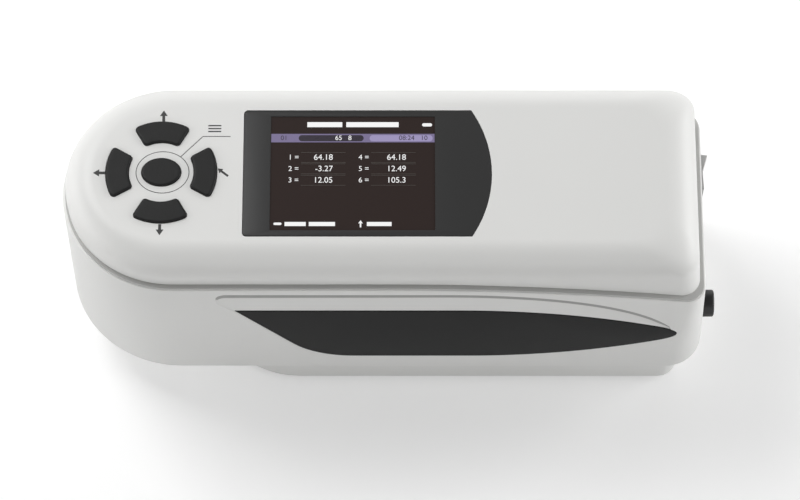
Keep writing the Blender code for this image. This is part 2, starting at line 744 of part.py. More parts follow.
def recess_outline():
    """The recess: the grip's lower edge below, the crease above."""
    shoulder = [
        (RECESS_BEND_X, RECESS_TOP_Z),
        (RECESS_LEFT_X, RECESS_TOP_Z),
        (RECESS_LEFT_X, RECESS_SHOULDER_Z),
        (GRIP_LEFT_X - FIT_GAP, GRIP_TOP_Z),
    ]
    corners = rounded(shoulder, [0, RECESS_CORNER, RECESS_CORNER, 0])
    below = grown(grip_outline(), FIT_GAP)[1 : len(grip_lower_edge()) + len(grip_nose())]
    return below + recess_crease() + corners[1:]


def window_outline(gap):
    """Display window: square corners at the keypad end, an outward arc at the other."""
    half = WINDOW_HALF_WIDTH - gap
    radius = (WINDOW_HALF_WIDTH**2 + WINDOW_BULGE**2) / (2 * WINDOW_BULGE)
    centre = WINDOW_RIGHT_X + WINDOW_BULGE - radius
    swing = math.asin(half / (radius - gap))
    left = WINDOW_LEFT_X + gap
    sketch = [(WINDOW_RIGHT_X, half), (left, half), (left, -half), (WINDOW_RIGHT_X, -half)]
    corners = rounded(sketch, [0, WINDOW_CORNER, WINDOW_CORNER, 0])
    return corners[1:-1] + arc((centre, 0), radius - gap, -swing, swing, ARC_STEPS)


def key_outline(direction, growth):
    """A ring sector about the keypad's centre, pointing at an angle, grown by a distance."""
    corner = KEY_CORNER + growth
    outer_centre = KEY_OUTER_RADIUS - KEY_CORNER
    inner_centre = KEY_INNER_RADIUS + KEY_CORNER
    outer_end = KEY_HALF_ANGLE - math.asin(KEY_CORNER / outer_centre)
    inner_end = KEY_HALF_ANGLE - math.asin(KEY_CORNER / inner_centre)
    quarter = math.pi / 2
    side = KEY_HALF_ANGLE + quarter

    def turn_at(radius, angle, start, end):
        centre = (radius * math.cos(angle), radius * math.sin(angle))
        return arc(centre, corner, start, end, KEY_CORNER_STEPS)

    points = arc((0, 0), KEY_OUTER_RADIUS + growth, -outer_end, outer_end, KEY_ARC_STEPS)
    points += turn_at(outer_centre, outer_end, outer_end, side)[1:]
    points += turn_at(inner_centre, inner_end, side, inner_end + math.pi)
    points += arc((0, 0), KEY_INNER_RADIUS - growth, inner_end, -inner_end, KEY_ARC_STEPS)[1:]
    points += turn_at(inner_centre, -inner_end, math.pi - inner_end, math.tau - side)[1:]
    points += turn_at(outer_centre, -outer_end, -side, -outer_end)[:-1]
    turn = Matrix.Rotation(direction, 2)
    return [tuple(turn @ Vector(point)) for point in points]


def ellipse(half_length, half_width, sides=ROUND_SIDES):
    angles = [math.tau * i / sides for i in range(sides)]
    return [(half_length * math.cos(a), half_width * math.sin(a)) for a in angles]


def enter_outline(growth):
    return ellipse(ENTER_LENGTH / 2 + growth, ENTER_WIDTH / 2 + growth)


def key_outlines():
    """Each key's name and its outline as a function of growth."""
    names = (("key_right", 0), ("key_up", 1), ("key_left", 2), ("key_down", 3))
    keys = {name: lambda g, a=quarter * math.pi / 2: key_outline(a, g) for name, quarter in names}
    keys["key_enter"] = enter_outline
    return keys


def screw(name, kind, at, length, up=1):
    """A machine screw with a socket head; up is +1 where the shank points up."""
    shank, head, head_height = kind
    seat = up * FIT_GAP
    bm = turned(
        [
            (0, up * length),
            (shank, up * length),
            (shank, -seat),
            (head, -seat),
            (head, -seat - up * head_height),
            (SOCKET_RADIUS, -seat - up * head_height),
            (SOCKET_RADIUS, -seat - up * (head_height - SOCKET_DEPTH)),
            (0, -seat - up * (head_height - SOCKET_DEPTH)),
        ],
        SMALL_SIDES,
    )
    return object_from(name, bm, STEEL, at)


def column_places():
    return [(x, side * COLUMN_Y) for x in (COLUMN_LEFT_X, COLUMN_RIGHT_X) for side in (-1, 1)]


def base_screw_places():
    left = [(BASE_SCREW_LEFT_X, side * BASE_SCREW_LEFT_Y) for side in (-1, 1)]
    return left + [(BASE_SCREW_RIGHT_X, side * BASE_SCREW_RIGHT_Y) for side in (-1, 1)]


def board_post_places():
    return [(x, side * BOARD_POST_Y) for x in (BOARD_POST_LEFT_X, BOARD_POST_RIGHT_X) for side in (-1, 1)]


def keypad_post_places():
    return [(KEYPAD_X + side * KEYPAD_POST_OFFSET, side * KEYPAD_POST_OFFSET) for side in (-1, 1)]


def chassis_leg_places():
    return [(OPTICS_X + side * CHASSIS_LEG_X, side * CHASSIS_LEG_Y) for side in (-1, 1)]


def rods_at(name, places, radius, bottom, top):
    """Hidden round helpers at each place."""
    helpers = []
    for i, (x, y) in enumerate(places, 1):
        bm = rod(radius, (x, y, bottom), (x, y, top), SMALL_SIDES)
        helpers.append(object_from(f"{name}_{i}", bm))
    return helpers


def make_upper_cover():
    inner_lift = COVER_ROUND - COVER_WALL
    inner_turns = [math.pi / 2 * (1 - i / INNER_ROUND_STEPS) for i in range(INNER_ROUND_STEPS + 1)]
    outer_turns = [math.pi / 2 * i / ROUND_STEPS for i in range(ROUND_STEPS + 1)]
    rings = [cover_ring(COVER_WALL, inner_lift, turn) for turn in inner_turns]
    rings += [cover_foot(COVER_WALL), cover_foot(0)]
    rings += [cover_ring(0, COVER_ROUND, turn) for turn in outer_turns]
    shell = object_from("upper_cover", lofted(rings), WHITE_ABS)
    join(shell, *rods_at("cover_boss", column_places(), BOSS_RADIUS, COLUMN_TOP_Z + FIT_GAP, BOSS_TOP_Z))
    bite_top = COLUMN_TOP_Z + SCREW_BITE + OVERRUN
    pilot = SCREW_SHANK + FIT_GAP
    cut(shell, *rods_at("cover_pilot", column_places(), pilot, COLUMN_TOP_Z - OVERRUN, bite_top))
    post_top = CEILING_Z + SINK
    join(shell, *rods_at("board_post", board_post_places(), POST_RADIUS, BOARD_TOP_Z + FIT_GAP, post_top))
    keypad_bottom = KEYPAD_BOARD_TOP_Z + FIT_GAP
    join(shell, *rods_at("keypad_post", keypad_post_places(), POST_RADIUS, keypad_bottom, post_top))
    low, high = BOARD_TOP_Z - OVERRUN, BOARD_TOP_Z + SMALL_GRIP + FIT_GAP
    cut(shell, *rods_at("board_pilot", board_post_places(), small_bore(), low, high))
    low, high = KEYPAD_BOARD_TOP_Z - OVERRUN, KEYPAD_BOARD_TOP_Z + SMALL_GRIP + FIT_GAP
    cut(shell, *rods_at("keypad_pilot", keypad_post_places(), small_bore(), low, high))
    seat = prism(window_outline(0), WINDOW_FLOOR_Z, HEIGHT + OVERRUN)
    cut(shell, object_from("window_seat", seat))
    view = prism(
        rounded_box(SCREEN_LENGTH / 2 + SCREEN_MARGIN, SCREEN_WIDTH / 2 + SCREEN_MARGIN, WINDOW_CORNER),
        CEILING_Z - OVERRUN,
        HEIGHT,
    )
    cut(shell, object_from("screen_opening", view, at=(SCREEN_X, 0, 0)))
    for name, outline in key_outlines().items():
        hole = prism(outline(KEY_GAP), CEILING_Z - OVERRUN, HEIGHT + OVERRUN)
        cut(shell, object_from(name + "_hole", hole, at=(KEYPAD_X, 0, 0)))
    return shell


def make_lower_housing():
    rings = [
        flat_ring(housing_outline(HOUSING_EDGE, 0), HOUSING_BOTTOM),
        flat_ring(housing_outline(0, 0), WALL_FOOT_Z),
        seam_ring(housing_outline(0, 1), 0),
        seam_ring(housing_outline(HOUSING_WALL, 1), 0),
        flat_ring(housing_outline(HOUSING_WALL, 0), FLOOR_Z),
    ]
    shell = object_from("lower_housing", lofted(rings), WHITE_ABS)
    join(shell, *rods_at("column", column_places(), COLUMN_RADIUS, FLOOR_Z - SINK, COLUMN_TOP_Z))
    well_top = COLUMN_TOP_Z - COLUMN_SHOULDER
    well = SCREW_HEAD + FIT_GAP
    cut(shell, *rods_at("column_well", column_places(), well, HOUSING_BOTTOM - OVERRUN, well_top))
    clear = SCREW_SHANK + FIT_GAP
    cut(shell, *rods_at("column_bore", column_places(), clear, well_top - OVERRUN, COLUMN_TOP_Z + OVERRUN))
    base_boss_top = FLOOR_Z + BASE_BITE
    join(shell, *rods_at("base_boss", base_screw_places(), BOSS_RADIUS, FLOOR_Z - SINK, base_boss_top))
    low, high = HOUSING_BOTTOM - OVERRUN, base_boss_top - FIT_GAP
    cut(shell, *rods_at("base_pilot", base_screw_places(), clear, low, high))
    cut(shell, *rods_at("leg_pilot", chassis_leg_places(), small_bore(), WALL_FOOT_Z, FLOOR_Z + OVERRUN))
    for ending, side in (("front", -1), ("rear", 1)):
        pocket = side_slab(recess_outline(), side, RECESS_DEPTH, -OVERRUN)
        cut(shell, object_from("recess_" + ending, pocket))
    opening = end_slab(PANEL_HALF_WIDTH, PANEL_BOTTOM_Z, PANEL_TOP_Z, HOUSING_WALL + OVERRUN, -OVERRUN)
    cut(shell, object_from("panel_opening", opening))
    sphere_way = SPHERE_OUTER + FIT_GAP
    low, high = (OPTICS_X, 0, HOUSING_BOTTOM - OVERRUN), (OPTICS_X, 0, FLOOR_Z + OVERRUN)
    return cut(shell, object_from("sphere_way", rod(sphere_way, low, high)))


def small_bore():
    return SMALL_SHANK + FIT_GAP


def make_seam_gasket():
    outer, inner = GASKET_INSET, GASKET_INSET + GASKET_WIDTH
    low, high = FIT_GAP, SEAM_GROOVE - FIT_GAP
    rings = [
        seam_ring(housing_outline(inner, 1), low),
        seam_ring(housing_outline(outer, 1), low),
        seam_ring(housing_outline(outer, 1), high),
        seam_ring(housing_outline(inner, 1), high),
    ]
    return object_from("seam_gasket", ring_lofted(rings), GREY_SILICONE)


def make_grips():
    def grip(name, side):
        outline = grip_outline()
        slab = side_slab(outline, side, RECESS_DEPTH - FIT_GAP, -GRIP_PROUD)
        return object_from(name, slab, BLACK_RUBBER)

    return mirrored_pair("grip", grip)


def base_outline(inset):
    half_width = BASE_HALF_WIDTH - inset
    return body_outline(half_width, half_width, BASE_RIGHT_X - inset, BASE_CORNER - inset, BASE_NOSE_X)


def pad_places():
    nose = [(PAD_NOSE_X, side * PAD_NOSE_Y) for side in (-1, 1)]
    return nose + [(PAD_END_X, side * PAD_END_Y) for side in (-1, 1)]


def make_base_housing():
    rings = [
        flat_ring(base_outline(BASE_EDGE), BASE_CLEARANCE),
        flat_ring(base_outline(0), BASE_CLEARANCE + BASE_EDGE),
        flat_ring(base_outline(0), BASE_TOP_Z),
    ]
    tub = object_from("base_housing", lofted(rings), WHITE_ABS)
    cut(tub, object_from("base_hollow", prism(base_outline(BASE_WALL), BASE_FLOOR_Z, BASE_TOP_Z + OVERRUN)))
    join(tub, *rods_at("base_column", base_screw_places(), BASE_COLUMN, BASE_FLOOR_Z - SINK, BASE_TOP_Z))
    well = SCREW_HEAD + FIT_GAP
    cut(tub, *rods_at("base_well", base_screw_places(), well, BASE_CLEARANCE - OVERRUN, BASE_SHOULDER_Z))
    clear = SCREW_SHANK + FIT_GAP
    bore_bottom = BASE_SHOULDER_Z - OVERRUN
    cut(tub, *rods_at("base_bore", base_screw_places(), clear, bore_bottom, BASE_TOP_Z + OVERRUN))
    past_left = BASE_NOSE_X - BASE_HALF_WIDTH - OVERRUN
    slot_half = DOOR_HALF_WIDTH + FIT_GAP
    rail_half = slot_half + DOOR_RAIL
    right = DOOR_RIGHT_X + FIT_GAP
    slot_top = DOOR_TOP_Z + FIT_GAP
    rail_bottom = BASE_CLEARANCE + DOOR_PLATE - FIT_GAP
    slot = block((past_left, -slot_half, BASE_CLEARANCE - OVERRUN), (right, slot_half, slot_top))
    rails = block((past_left, -rail_half, rail_bottom), (right, rail_half, slot_top))
    cut(tub, object_from("door_slot", slot), object_from("door_rails", rails))
    bay_low = (BAY_LEFT_X, -BAY_HALF_WIDTH, BASE_CLEARANCE)
    bay_high = (BAY_RIGHT_X, BAY_HALF_WIDTH, BASE_FLOOR_Z + OVERRUN)
    cut(tub, object_from("battery_bay", block(bay_low, bay_high)))
    seat_top = BASE_CLEARANCE + PAD_SEAT + FIT_GAP
    cut(tub, *rods_at("pad_seat", pad_places(), PAD_RADIUS + FIT_GAP, BASE_CLEARANCE - OVERRUN, seat_top))
    plate_top = PLATE_THICKNESS + FIT_GAP
    plate = rod(PLATE_RADIUS + FIT_GAP, (OPTICS_X, 0, -OVERRUN), (OPTICS_X, 0, plate_top))
    nose = rod(NOSE_RADIUS + FIT_GAP, (OPTICS_X, 0, 0), (OPTICS_X, 0, BASE_FLOOR_Z + OVERRUN))
    return cut(tub, object_from("plate_seat", plate), object_from("nose_way", nose))


def make_pads():
    for i, (x, y) in enumerate(pad_places(), 1):
        bm = rod(PAD_RADIUS, (0, 0, 0), (0, 0, BASE_CLEARANCE + PAD_SEAT), SMALL_SIDES)
        object_from(f"rubber_foot_{i}", bm, BLACK_RUBBER, (x, y, 0))


def make_battery_door():
    left = BASE_NOSE_X - BASE_HALF_WIDTH
    plate_top = BASE_CLEARANCE + DOOR_PLATE
    whole = prism(base_outline(BASE_EDGE), BASE_CLEARANCE, DOOR_TOP_Z)
    door = object_from("battery_door", whole, WHITE_ABS)
    wide = DOOR_HALF_WIDTH + DOOR_RAIL
    keep = block((left - OVERRUN, -wide, -OVERRUN), (DOOR_RIGHT_X, wide, BASE_FLOOR_Z))
    combine(door, "INTERSECT", [object_from("door_keep", keep)])
    for side in (-1, 1):
        low = min(side * DOOR_HALF_WIDTH, side * BASE_HALF_WIDTH)
        high = max(side * DOOR_HALF_WIDTH, side * BASE_HALF_WIDTH)
        step = block((left - OVERRUN, low, -OVERRUN), (DOOR_RIGHT_X + OVERRUN, high, plate_top))
        cut(door, object_from("door_step_" + ("front" if side < 0 else "rear"), step))
    return door


def make_battery_pack():
    half_length = (BAY_RIGHT_X - BAY_LEFT_X) / 2 - PACK_MARGIN
    centre = (BAY_LEFT_X + BAY_RIGHT_X) / 2
    half_width = BAY_HALF_WIDTH - PACK_MARGIN
    bottom = DOOR_TOP_Z + FIT_GAP
    outline = rounded_box(half_length, half_width, PACK_EDGE)
    bm = prism(outline, bottom, bottom + PACK_HEIGHT)
    return object_from("battery_pack", bm, PACK_BLUE, (centre, 0, 0))


def make_display():
    pane = prism(window_outline(WINDOW_GAP), HEIGHT - WINDOW_THICKNESS, HEIGHT)
    object_from("display_window", pane, DARK_ACRYLIC)
    bottom = BOARD_TOP_Z + FIT_GAP
    top = CEILING_Z - FIT_GAP
    body = centred_box(MODULE_LENGTH, MODULE_WIDTH, bottom, top)
    module = object_from("display_module", body, GLASS_DARK, (SCREEN_X, 0, 0))
    glass = centred_box(SCREEN_LENGTH, SCREEN_WIDTH, top - SINK, top + GLASS_RISE)
    return join(module, object_from("screen_glass", glass, at=(SCREEN_X, 0, 0)))


def make_keys():
    """Five key caps; each slides down its own vertical axis."""
    crown_z = KEY_PROUD + KEY_CROWN
    for name, outline in key_outlines().items():
        bottom = KEY_BOTTOM_Z - HEIGHT
        flange_top = bottom + KEY_FLANGE_THICKNESS
        rings = [
            flat_ring(outline(KEY_FLANGE), bottom),
            flat_ring(outline(KEY_FLANGE), flange_top),
            flat_ring(outline(0), flange_top),
            flat_ring(outline(0), KEY_PROUD),
            flat_ring(outline(-KEY_CROWN), crown_z),
        ]
        object_from(name, lofted(rings), BLACK_ABS, (KEYPAD_X, 0, HEIGHT))


def make_keypad_mat():
    mat = rod(MAT_RADIUS, (0, 0, MAT_BOTTOM_Z), (0, 0, MAT_BOTTOM_Z + MAT_THICKNESS))
    mat = object_from("keypad_mat", mat, GREY_SILICONE, (KEYPAD_X, 0, 0))
    ring = (KEY_OUTER_RADIUS + KEY_INNER_RADIUS) / 2
    places = [(KEYPAD_X, 0)]
    for quarter in range(4):
        angle = quarter * math.pi / 2
        places.append((KEYPAD_X + ring * math.cos(angle), ring * math.sin(angle)))
    dome_bottom = MAT_BOTTOM_Z + MAT_THICKNESS / 2
    return join(mat, *rods_at("mat_dome", places, MAT_DOME_RADIUS, dome_bottom, MAT_TOP_Z))


def make_boards():
    low = BOARD_TOP_Z - BOARD_THICKNESS
    plate = block((BOARD_LEFT_X, -BOARD_HALF_WIDTH, low), (BOARD_RIGHT_X, BOARD_HALF_WIDTH, BOARD_TOP_Z))
    board = object_from("main_board", plate, BOARD_GREEN)
    chip = centred_box(CHIP_LENGTH, CHIP_LENGTH, low - CHIP_HEIGHT, low + SINK)
    join(board, object_from("processor", chip, at=(CHIP_X, 0, 0)))
    hole_top = BOARD_TOP_Z + OVERRUN
    cut(board, *rods_at("board_hole", board_post_places(), small_bore(), low - OVERRUN, hole_top))
    side = KEYPAD_BOARD_SIDE / 2
    keypad_low = KEYPAD_BOARD_TOP_Z - BOARD_THICKNESS
    outline = rounded_box(side, side, POST_RADIUS)
    plate = prism(outline, keypad_low, KEYPAD_BOARD_TOP_Z)
    keypad = object_from("keypad_board", plate, BOARD_GREEN, (KEYPAD_X, 0, 0))
    hole_top = KEYPAD_BOARD_TOP_Z + OVERRUN
    cut(keypad, *rods_at("keypad_hole", keypad_post_places(), small_bore(), keypad_low - OVERRUN, hole_top))
    cell = rod(CELL_RADIUS, (0, 0, -CELL_HEIGHT), (0, 0, 0))
    object_from("clock_cell", cell, STEEL, (CELL_X, CELL_Y, low - FIT_GAP))


def make_screws():
    well_top = COLUMN_TOP_Z - COLUMN_SHOULDER
    case_length = COLUMN_SHOULDER + SCREW_BITE
    for i, (x, y) in enumerate(column_places(), 1):
        screw(f"case_screw_{i}", CASE_SCREW, (x, y, well_top), case_length)
    base_length = FLOOR_Z + BASE_BITE - BASE_SHOULDER_Z - SINK - FIT_GAP
    for i, (x, y) in enumerate(base_screw_places(), 1):
        screw(f"base_screw_{i}", CASE_SCREW, (x, y, BASE_SHOULDER_Z), base_length)
    board_length = BOARD_THICKNESS + SMALL_GRIP - FIT_GAP
    for i, (x, y) in enumerate(board_post_places(), 1):
        screw(f"board_screw_{i}", SMALL_SCREW, (x, y, BOARD_TOP_Z - BOARD_THICKNESS), board_length)
    for i, (x, y) in enumerate(keypad_post_places(), 1):
        screw(f"keypad_screw_{i}", SMALL_SCREW, (x, y, KEYPAD_BOARD_TOP_Z - BOARD_THICKNESS), board_length)
    chassis_top = chassis_bottom() + CHASSIS_THICKNESS
    chassis_length = chassis_top - WALL_FOOT_Z - FIT_GAP
    for i, (x, y) in enumerate(chassis_leg_places(), 1):
        screw(f"chassis_screw_{i}", SMALL_SCREW, (x, y, chassis_top), chassis_length, -1)


def chassis_bottom():
    """Underside of the chassis plate, which the sphere's lower flange stands on."""
    return SPHERE_Z - FIT_GAP / 2 - SPHERE_FLANGE_THICKNESS - FIT_GAP - CHASSIS_THICKNESS


def make_optics_chassis():
    bottom = chassis_bottom()
    top = bottom + CHASSIS_THICKNESS
    outline = rounded_box(CHASSIS_HALF_LENGTH, CHASSIS_HALF_WIDTH, CHASSIS_LEG_RADIUS)
    chassis = object_from("optics_chassis", prism(outline, bottom, top), ALUMINIUM, (OPTICS_X, 0, 0))
    legs = chassis_leg_places() + [(x, -y) for x, y in chassis_leg_places()]
    join(chassis, *rods_at("leg", legs, CHASSIS_LEG_RADIUS, FLOOR_Z + FIT_GAP, bottom + SINK))
    cut(chassis, *rods_at("leg_bore", chassis_leg_places(), small_bore(), FLOOR_Z - OVERRUN, top + OVERRUN))
    way = rod(SPHERE_OUTER + FIT_GAP, (OPTICS_X, 0, bottom - OVERRUN), (OPTICS_X, 0, top + OVERRUN))
    return cut(chassis, object_from("chassis_way", way))


def half_sphere(port, up):
    """Half of the integrating sphere about its centre, with a flange at its rim and a port at its pole."""
    rim = FIT_GAP / 2
    flange = rim + SPHERE_FLANGE_THICKNESS
    inner_start, outer_start = math.asin(rim / SPHERE_INNER), math.asin(flange / SPHERE_OUTER)
    inner_end, outer_end = math.acos(port / SPHERE_INNER), math.acos(port / SPHERE_OUTER)
    points = [(SPHERE_FLANGE, rim), (SPHERE_FLANGE, flange)]
    for i in range(SPHERE_STEPS + 1):
        angle = outer_start + (outer_end - outer_start) * i / SPHERE_STEPS
        points.append((SPHERE_OUTER * math.cos(angle), SPHERE_OUTER * math.sin(angle)))
    for i in range(SPHERE_STEPS, -1, -1):
        angle = inner_start + (inner_end - inner_start) * i / SPHERE_STEPS
        points.append((SPHERE_INNER * math.cos(angle), SPHERE_INNER * math.sin(angle)))
    return turned([(radius, up * height) for radius, height in points])


def along(direction, distance):
    """A point this far from the sphere's centre."""
    return Vector((OPTICS_X, 0, SPHERE_Z)) + direction * distance


def tilted(angle):
    return Vector((math.sin(angle), 0, math.cos(angle)))


def facing_box(direction, distance, side, thickness):
    """A square plate across a direction, this far from the sphere's centre."""
    half = side / 2
    bm = block((-half, -half, 0), (half, half, thickness))
    return moved(bm, Matrix.Translation(along(direction, distance)) @ aim(direction))


def make_optics():
    at = (OPTICS_X, 0, SPHERE_Z)
    object_from("sphere_lower", half_sphere(SAMPLE_PORT, -1), DIFFUSE_WHITE, at)
    upper = object_from("sphere_upper", half_sphere(0, 1), DIFFUSE_WHITE, at)
    ports = (
        ("detector", tilted(DETECTOR_TILT), BARREL_BORE),
        ("lamp", tilted(LAMP_TILT), LAMP_RADIUS - FIT_GAP),
        ("camera", tilted(CAMERA_TILT), CAMERA_RADIUS - FIT_GAP),
    )
    for name, direction, radius in ports:
        port = rod(radius, along(direction, SPHERE_INNER - OVERRUN), along(direction, SPHERE_OUTER + OVERRUN))
        cut(upper, object_from(name + "_port", port))
    start = SPHERE_OUTER + FIT_GAP + SINK
    detector, lamp, camera = (port[1] for port in ports)
    barrel_end = start + BARREL_LENGTH
    barrel = rod(BARREL_RADIUS, along(detector, start), along(detector, barrel_end))
    bore = rod(BARREL_BORE, along(detector, start - OVERRUN), along(detector, barrel_end + OVERRUN))
    cut(object_from("detector_barrel", barrel, BLACK_ABS), object_from("barrel_bore", bore))
    lens_start = start + LENS_OFFSET
    lens_radius = BARREL_BORE - FIT_GAP
    lens = rod(lens_radius, along(detector, lens_start), along(detector, lens_start + LENS_THICKNESS))
    object_from("detector_lens", lens, LENS_GLASS)
    plate = facing_box(detector, barrel_end + FIT_GAP, DETECTOR_BOARD_SIDE, BOARD_THICKNESS)
    object_from("detector_board", plate, BOARD_GREEN)
    lamp_end = start + LAMP_LENGTH
    object_from("lamp_tube", rod(LAMP_RADIUS, along(lamp, start), along(lamp, lamp_end)), ALUMINIUM)
    lamp_board = facing_box(lamp, lamp_end + FIT_GAP, LAMP_BOARD_SIDE, BOARD_THICKNESS)
    object_from("lamp_board", lamp_board, BOARD_GREEN)
    camera_end = start + CAMERA_LENGTH
    eye = rod(CAMERA_RADIUS, along(camera, start), along(camera, camera_end))
    eye = object_from("locating_camera", eye, BLACK_ABS)
    head = facing_box(camera, camera_end - SINK, CAMERA_BODY_SIDE, CAMERA_BODY_LENGTH)
    join(eye, object_from("camera_body", head))


def make_aperture():
    plate = [
        (APERTURE_RADIUS, 0),
        (PLATE_RADIUS, 0),
        (PLATE_RADIUS, PLATE_THICKNESS),
        (APERTURE_RADIUS, PLATE_THICKNESS),
    ]
    object_from("aperture_plate", turned(plate), BLACK_ABS, (OPTICS_X, 0, 0))
    bottom = PLATE_THICKNESS + FIT_GAP
    flange_bottom = BASE_FLOOR_Z + FIT_GAP
    flange_top = flange_bottom + NOSE_FLANGE_THICKNESS
    top = SPHERE_Z - SPHERE_OUTER - FIT_GAP
    nose = [
        (APERTURE_RADIUS, bottom),
        (NOSE_RADIUS, bottom),
        (NOSE_RADIUS, flange_bottom),
        (NOSE_FLANGE, flange_bottom),
        (NOSE_FLANGE, flange_top),
        (NOSE_RADIUS, flange_top),
        (NOSE_RADIUS, top),
        (APERTURE_RADIUS, top),
    ]
    object_from("aperture_nose", turned(nose), BLACK_ABS, (OPTICS_X, 0, 0))


def board_face_x():
    """Outward face of the interface board, which the sockets stand on."""
    return INTERFACE_BOARD_X + BOARD_THICKNESS


def end_box(y, z, length, width, back, front):
    """A box on the square end, centred at y and z, between two places along X."""
    return block((back, y - length / 2, z - width / 2), (front, y + length / 2, z + width / 2))


def peg_places():
    heights = (PANEL_BOTTOM_Z + PANEL_PEG_INSET, PANEL_TOP_Z - PANEL_PEG_INSET)
    return [(side * PANEL_PEG_Y, z) for z in heights for side in (-1, 1)]


def make_interface_panel():
    gap = FIT_GAP
    back = HOUSING_WALL + gap
    bottom, top = PANEL_BOTTOM_Z + gap, PANEL_TOP_Z - gap
    face = end_slab(PANEL_HALF_WIDTH - gap, bottom, top, back + SINK, PANEL_RECESS)
    panel = object_from("interface_panel", face, BLACK_ABS)
    flange = end_slab(
        PANEL_HALF_WIDTH + PANEL_FLANGE - gap,
        PANEL_BOTTOM_Z - PANEL_FLANGE,
        PANEL_TOP_Z + PANEL_FLANGE,
        back + PANEL_FLANGE_THICKNESS,
        back,
    )
    join(panel, object_from("panel_flange", flange))
    for i, (y, z) in enumerate(peg_places(), 1):
        inner = end_x(z) - back - PANEL_FLANGE_THICKNESS / 2
        peg = rod(PANEL_PEG_RADIUS, (board_face_x() + gap, y, z), (inner, y, z), SMALL_SIDES)
        join(panel, object_from(f"panel_peg_{i}", peg))
    through = (board_face_x(), RIGHT_X + OVERRUN)
    holes = (
        ("rocker_way", ROCKER_Y, ROCKER_Z, SWITCH_LENGTH, SWITCH_WIDTH),
        ("usb_way", USB_Y, USB_Z, USB_LENGTH, USB_WIDTH),
        ("jack_way", JACK_Y, JACK_Z, JACK_SIDE, JACK_SIDE),
    )
    for name, y, z, length, width in holes:
        cut(panel, object_from(name, end_box(y, z, length + 2 * gap, width + 2 * gap, *through)))
    way = rod(MEASURE_RADIUS + gap, (through[0], MEASURE_Y, MEASURE_Z), (through[1], MEASURE_Y, MEASURE_Z))
    return cut(panel, object_from("button_way", way))


def make_interface_board():
    low = (INTERFACE_BOARD_X, -INTERFACE_BOARD_HALF_WIDTH, PANEL_BOTTOM_Z)
    high = (board_face_x(), INTERFACE_BOARD_HALF_WIDTH, PANEL_TOP_Z)
    return object_from("interface_board", block(low, high), BOARD_GREEN)


def make_sockets():
    """Charging jack and data socket, flush with the panel's face."""
    back = board_face_x() + FIT_GAP
    front = end_x(USB_Z) - PANEL_RECESS
    usb = object_from("usb_socket", end_box(USB_Y, USB_Z, USB_LENGTH, USB_WIDTH, back, front), STEEL)
    length, width = USB_LENGTH - 2 * USB_WALL, USB_WIDTH - 2 * USB_WALL
    mouth = end_box(USB_Y, USB_Z, length, width, front - USB_DEPTH, front + OVERRUN)
    cut(usb, object_from("usb_mouth", mouth))
    front = end_x(JACK_Z) - PANEL_RECESS
    body = end_box(JACK_Y, JACK_Z, JACK_SIDE, JACK_SIDE, back, front)
    jack = object_from("charging_jack", body, BLACK_ABS)
    depth = front - JACK_DEPTH
    bore = rod(JACK_BORE, (depth, JACK_Y, JACK_Z), (front + OVERRUN, JACK_Y, JACK_Z))
    cut(jack, object_from("jack_bore", bore))
    pin = rod(JACK_PIN, (depth - SINK, JACK_Y, JACK_Z), (front - SINK, JACK_Y, JACK_Z), SMALL_SIDES)
    join(jack, object_from("jack_pin", pin))


def rocker_pivot_x():
    return end_x(ROCKER_Z) - PANEL_RECESS - ROCKER_DEPTH / 2


def make_power_switch():
    """Switch body with a pocket, and the rocker that turns in it about an upright axis."""
    back = board_face_x() + FIT_GAP
    face = end_x(ROCKER_Z - SWITCH_WIDTH) - PANEL_RECESS + FIT_GAP
    front = face + SWITCH_FLANGE_THICKNESS
    body = end_box(ROCKER_Y, ROCKER_Z, SWITCH_LENGTH, SWITCH_WIDTH, back, front)
    body = object_from("power_switch", body, BLACK_ABS)
    rim_length, rim_width = SWITCH_LENGTH + 2 * SWITCH_FLANGE, SWITCH_WIDTH + 2 * SWITCH_FLANGE
    join(body, object_from("switch_rim", end_box(ROCKER_Y, ROCKER_Z, rim_length, rim_width, face, front)))
    reach = ROCKER_LENGTH / 2 * math.sin(ROCKER_ANGLE)
    floor = rocker_pivot_x() - ROCKER_DEPTH / 2 - reach - FIT_GAP
    pocket = end_box(
        ROCKER_Y,
        ROCKER_Z,
        ROCKER_LENGTH + 2 * SWITCH_RIM,
        ROCKER_WIDTH + 2 * FIT_GAP,
        floor,
        front + OVERRUN,
    )
    cut(body, object_from("switch_pocket", pocket))
    half = ROCKER_LENGTH / 2
    face_x = front - rocker_pivot_x() + reach
    outline = [(-ROCKER_DEPTH / 2, -half), (face_x, -half), (face_x - ROCKER_CROWN, 0), (face_x, half)]
    outline.append((-ROCKER_DEPTH / 2, half))
    rocker = prism(outline, -ROCKER_WIDTH / 2, ROCKER_WIDTH / 2)
    moved(rocker, Matrix.Rotation(-ROCKER_ANGLE, 4, "Z"))
    object_from("power_rocker", rocker, WHITE_ABS, (rocker_pivot_x(), ROCKER_Y, ROCKER_Z))


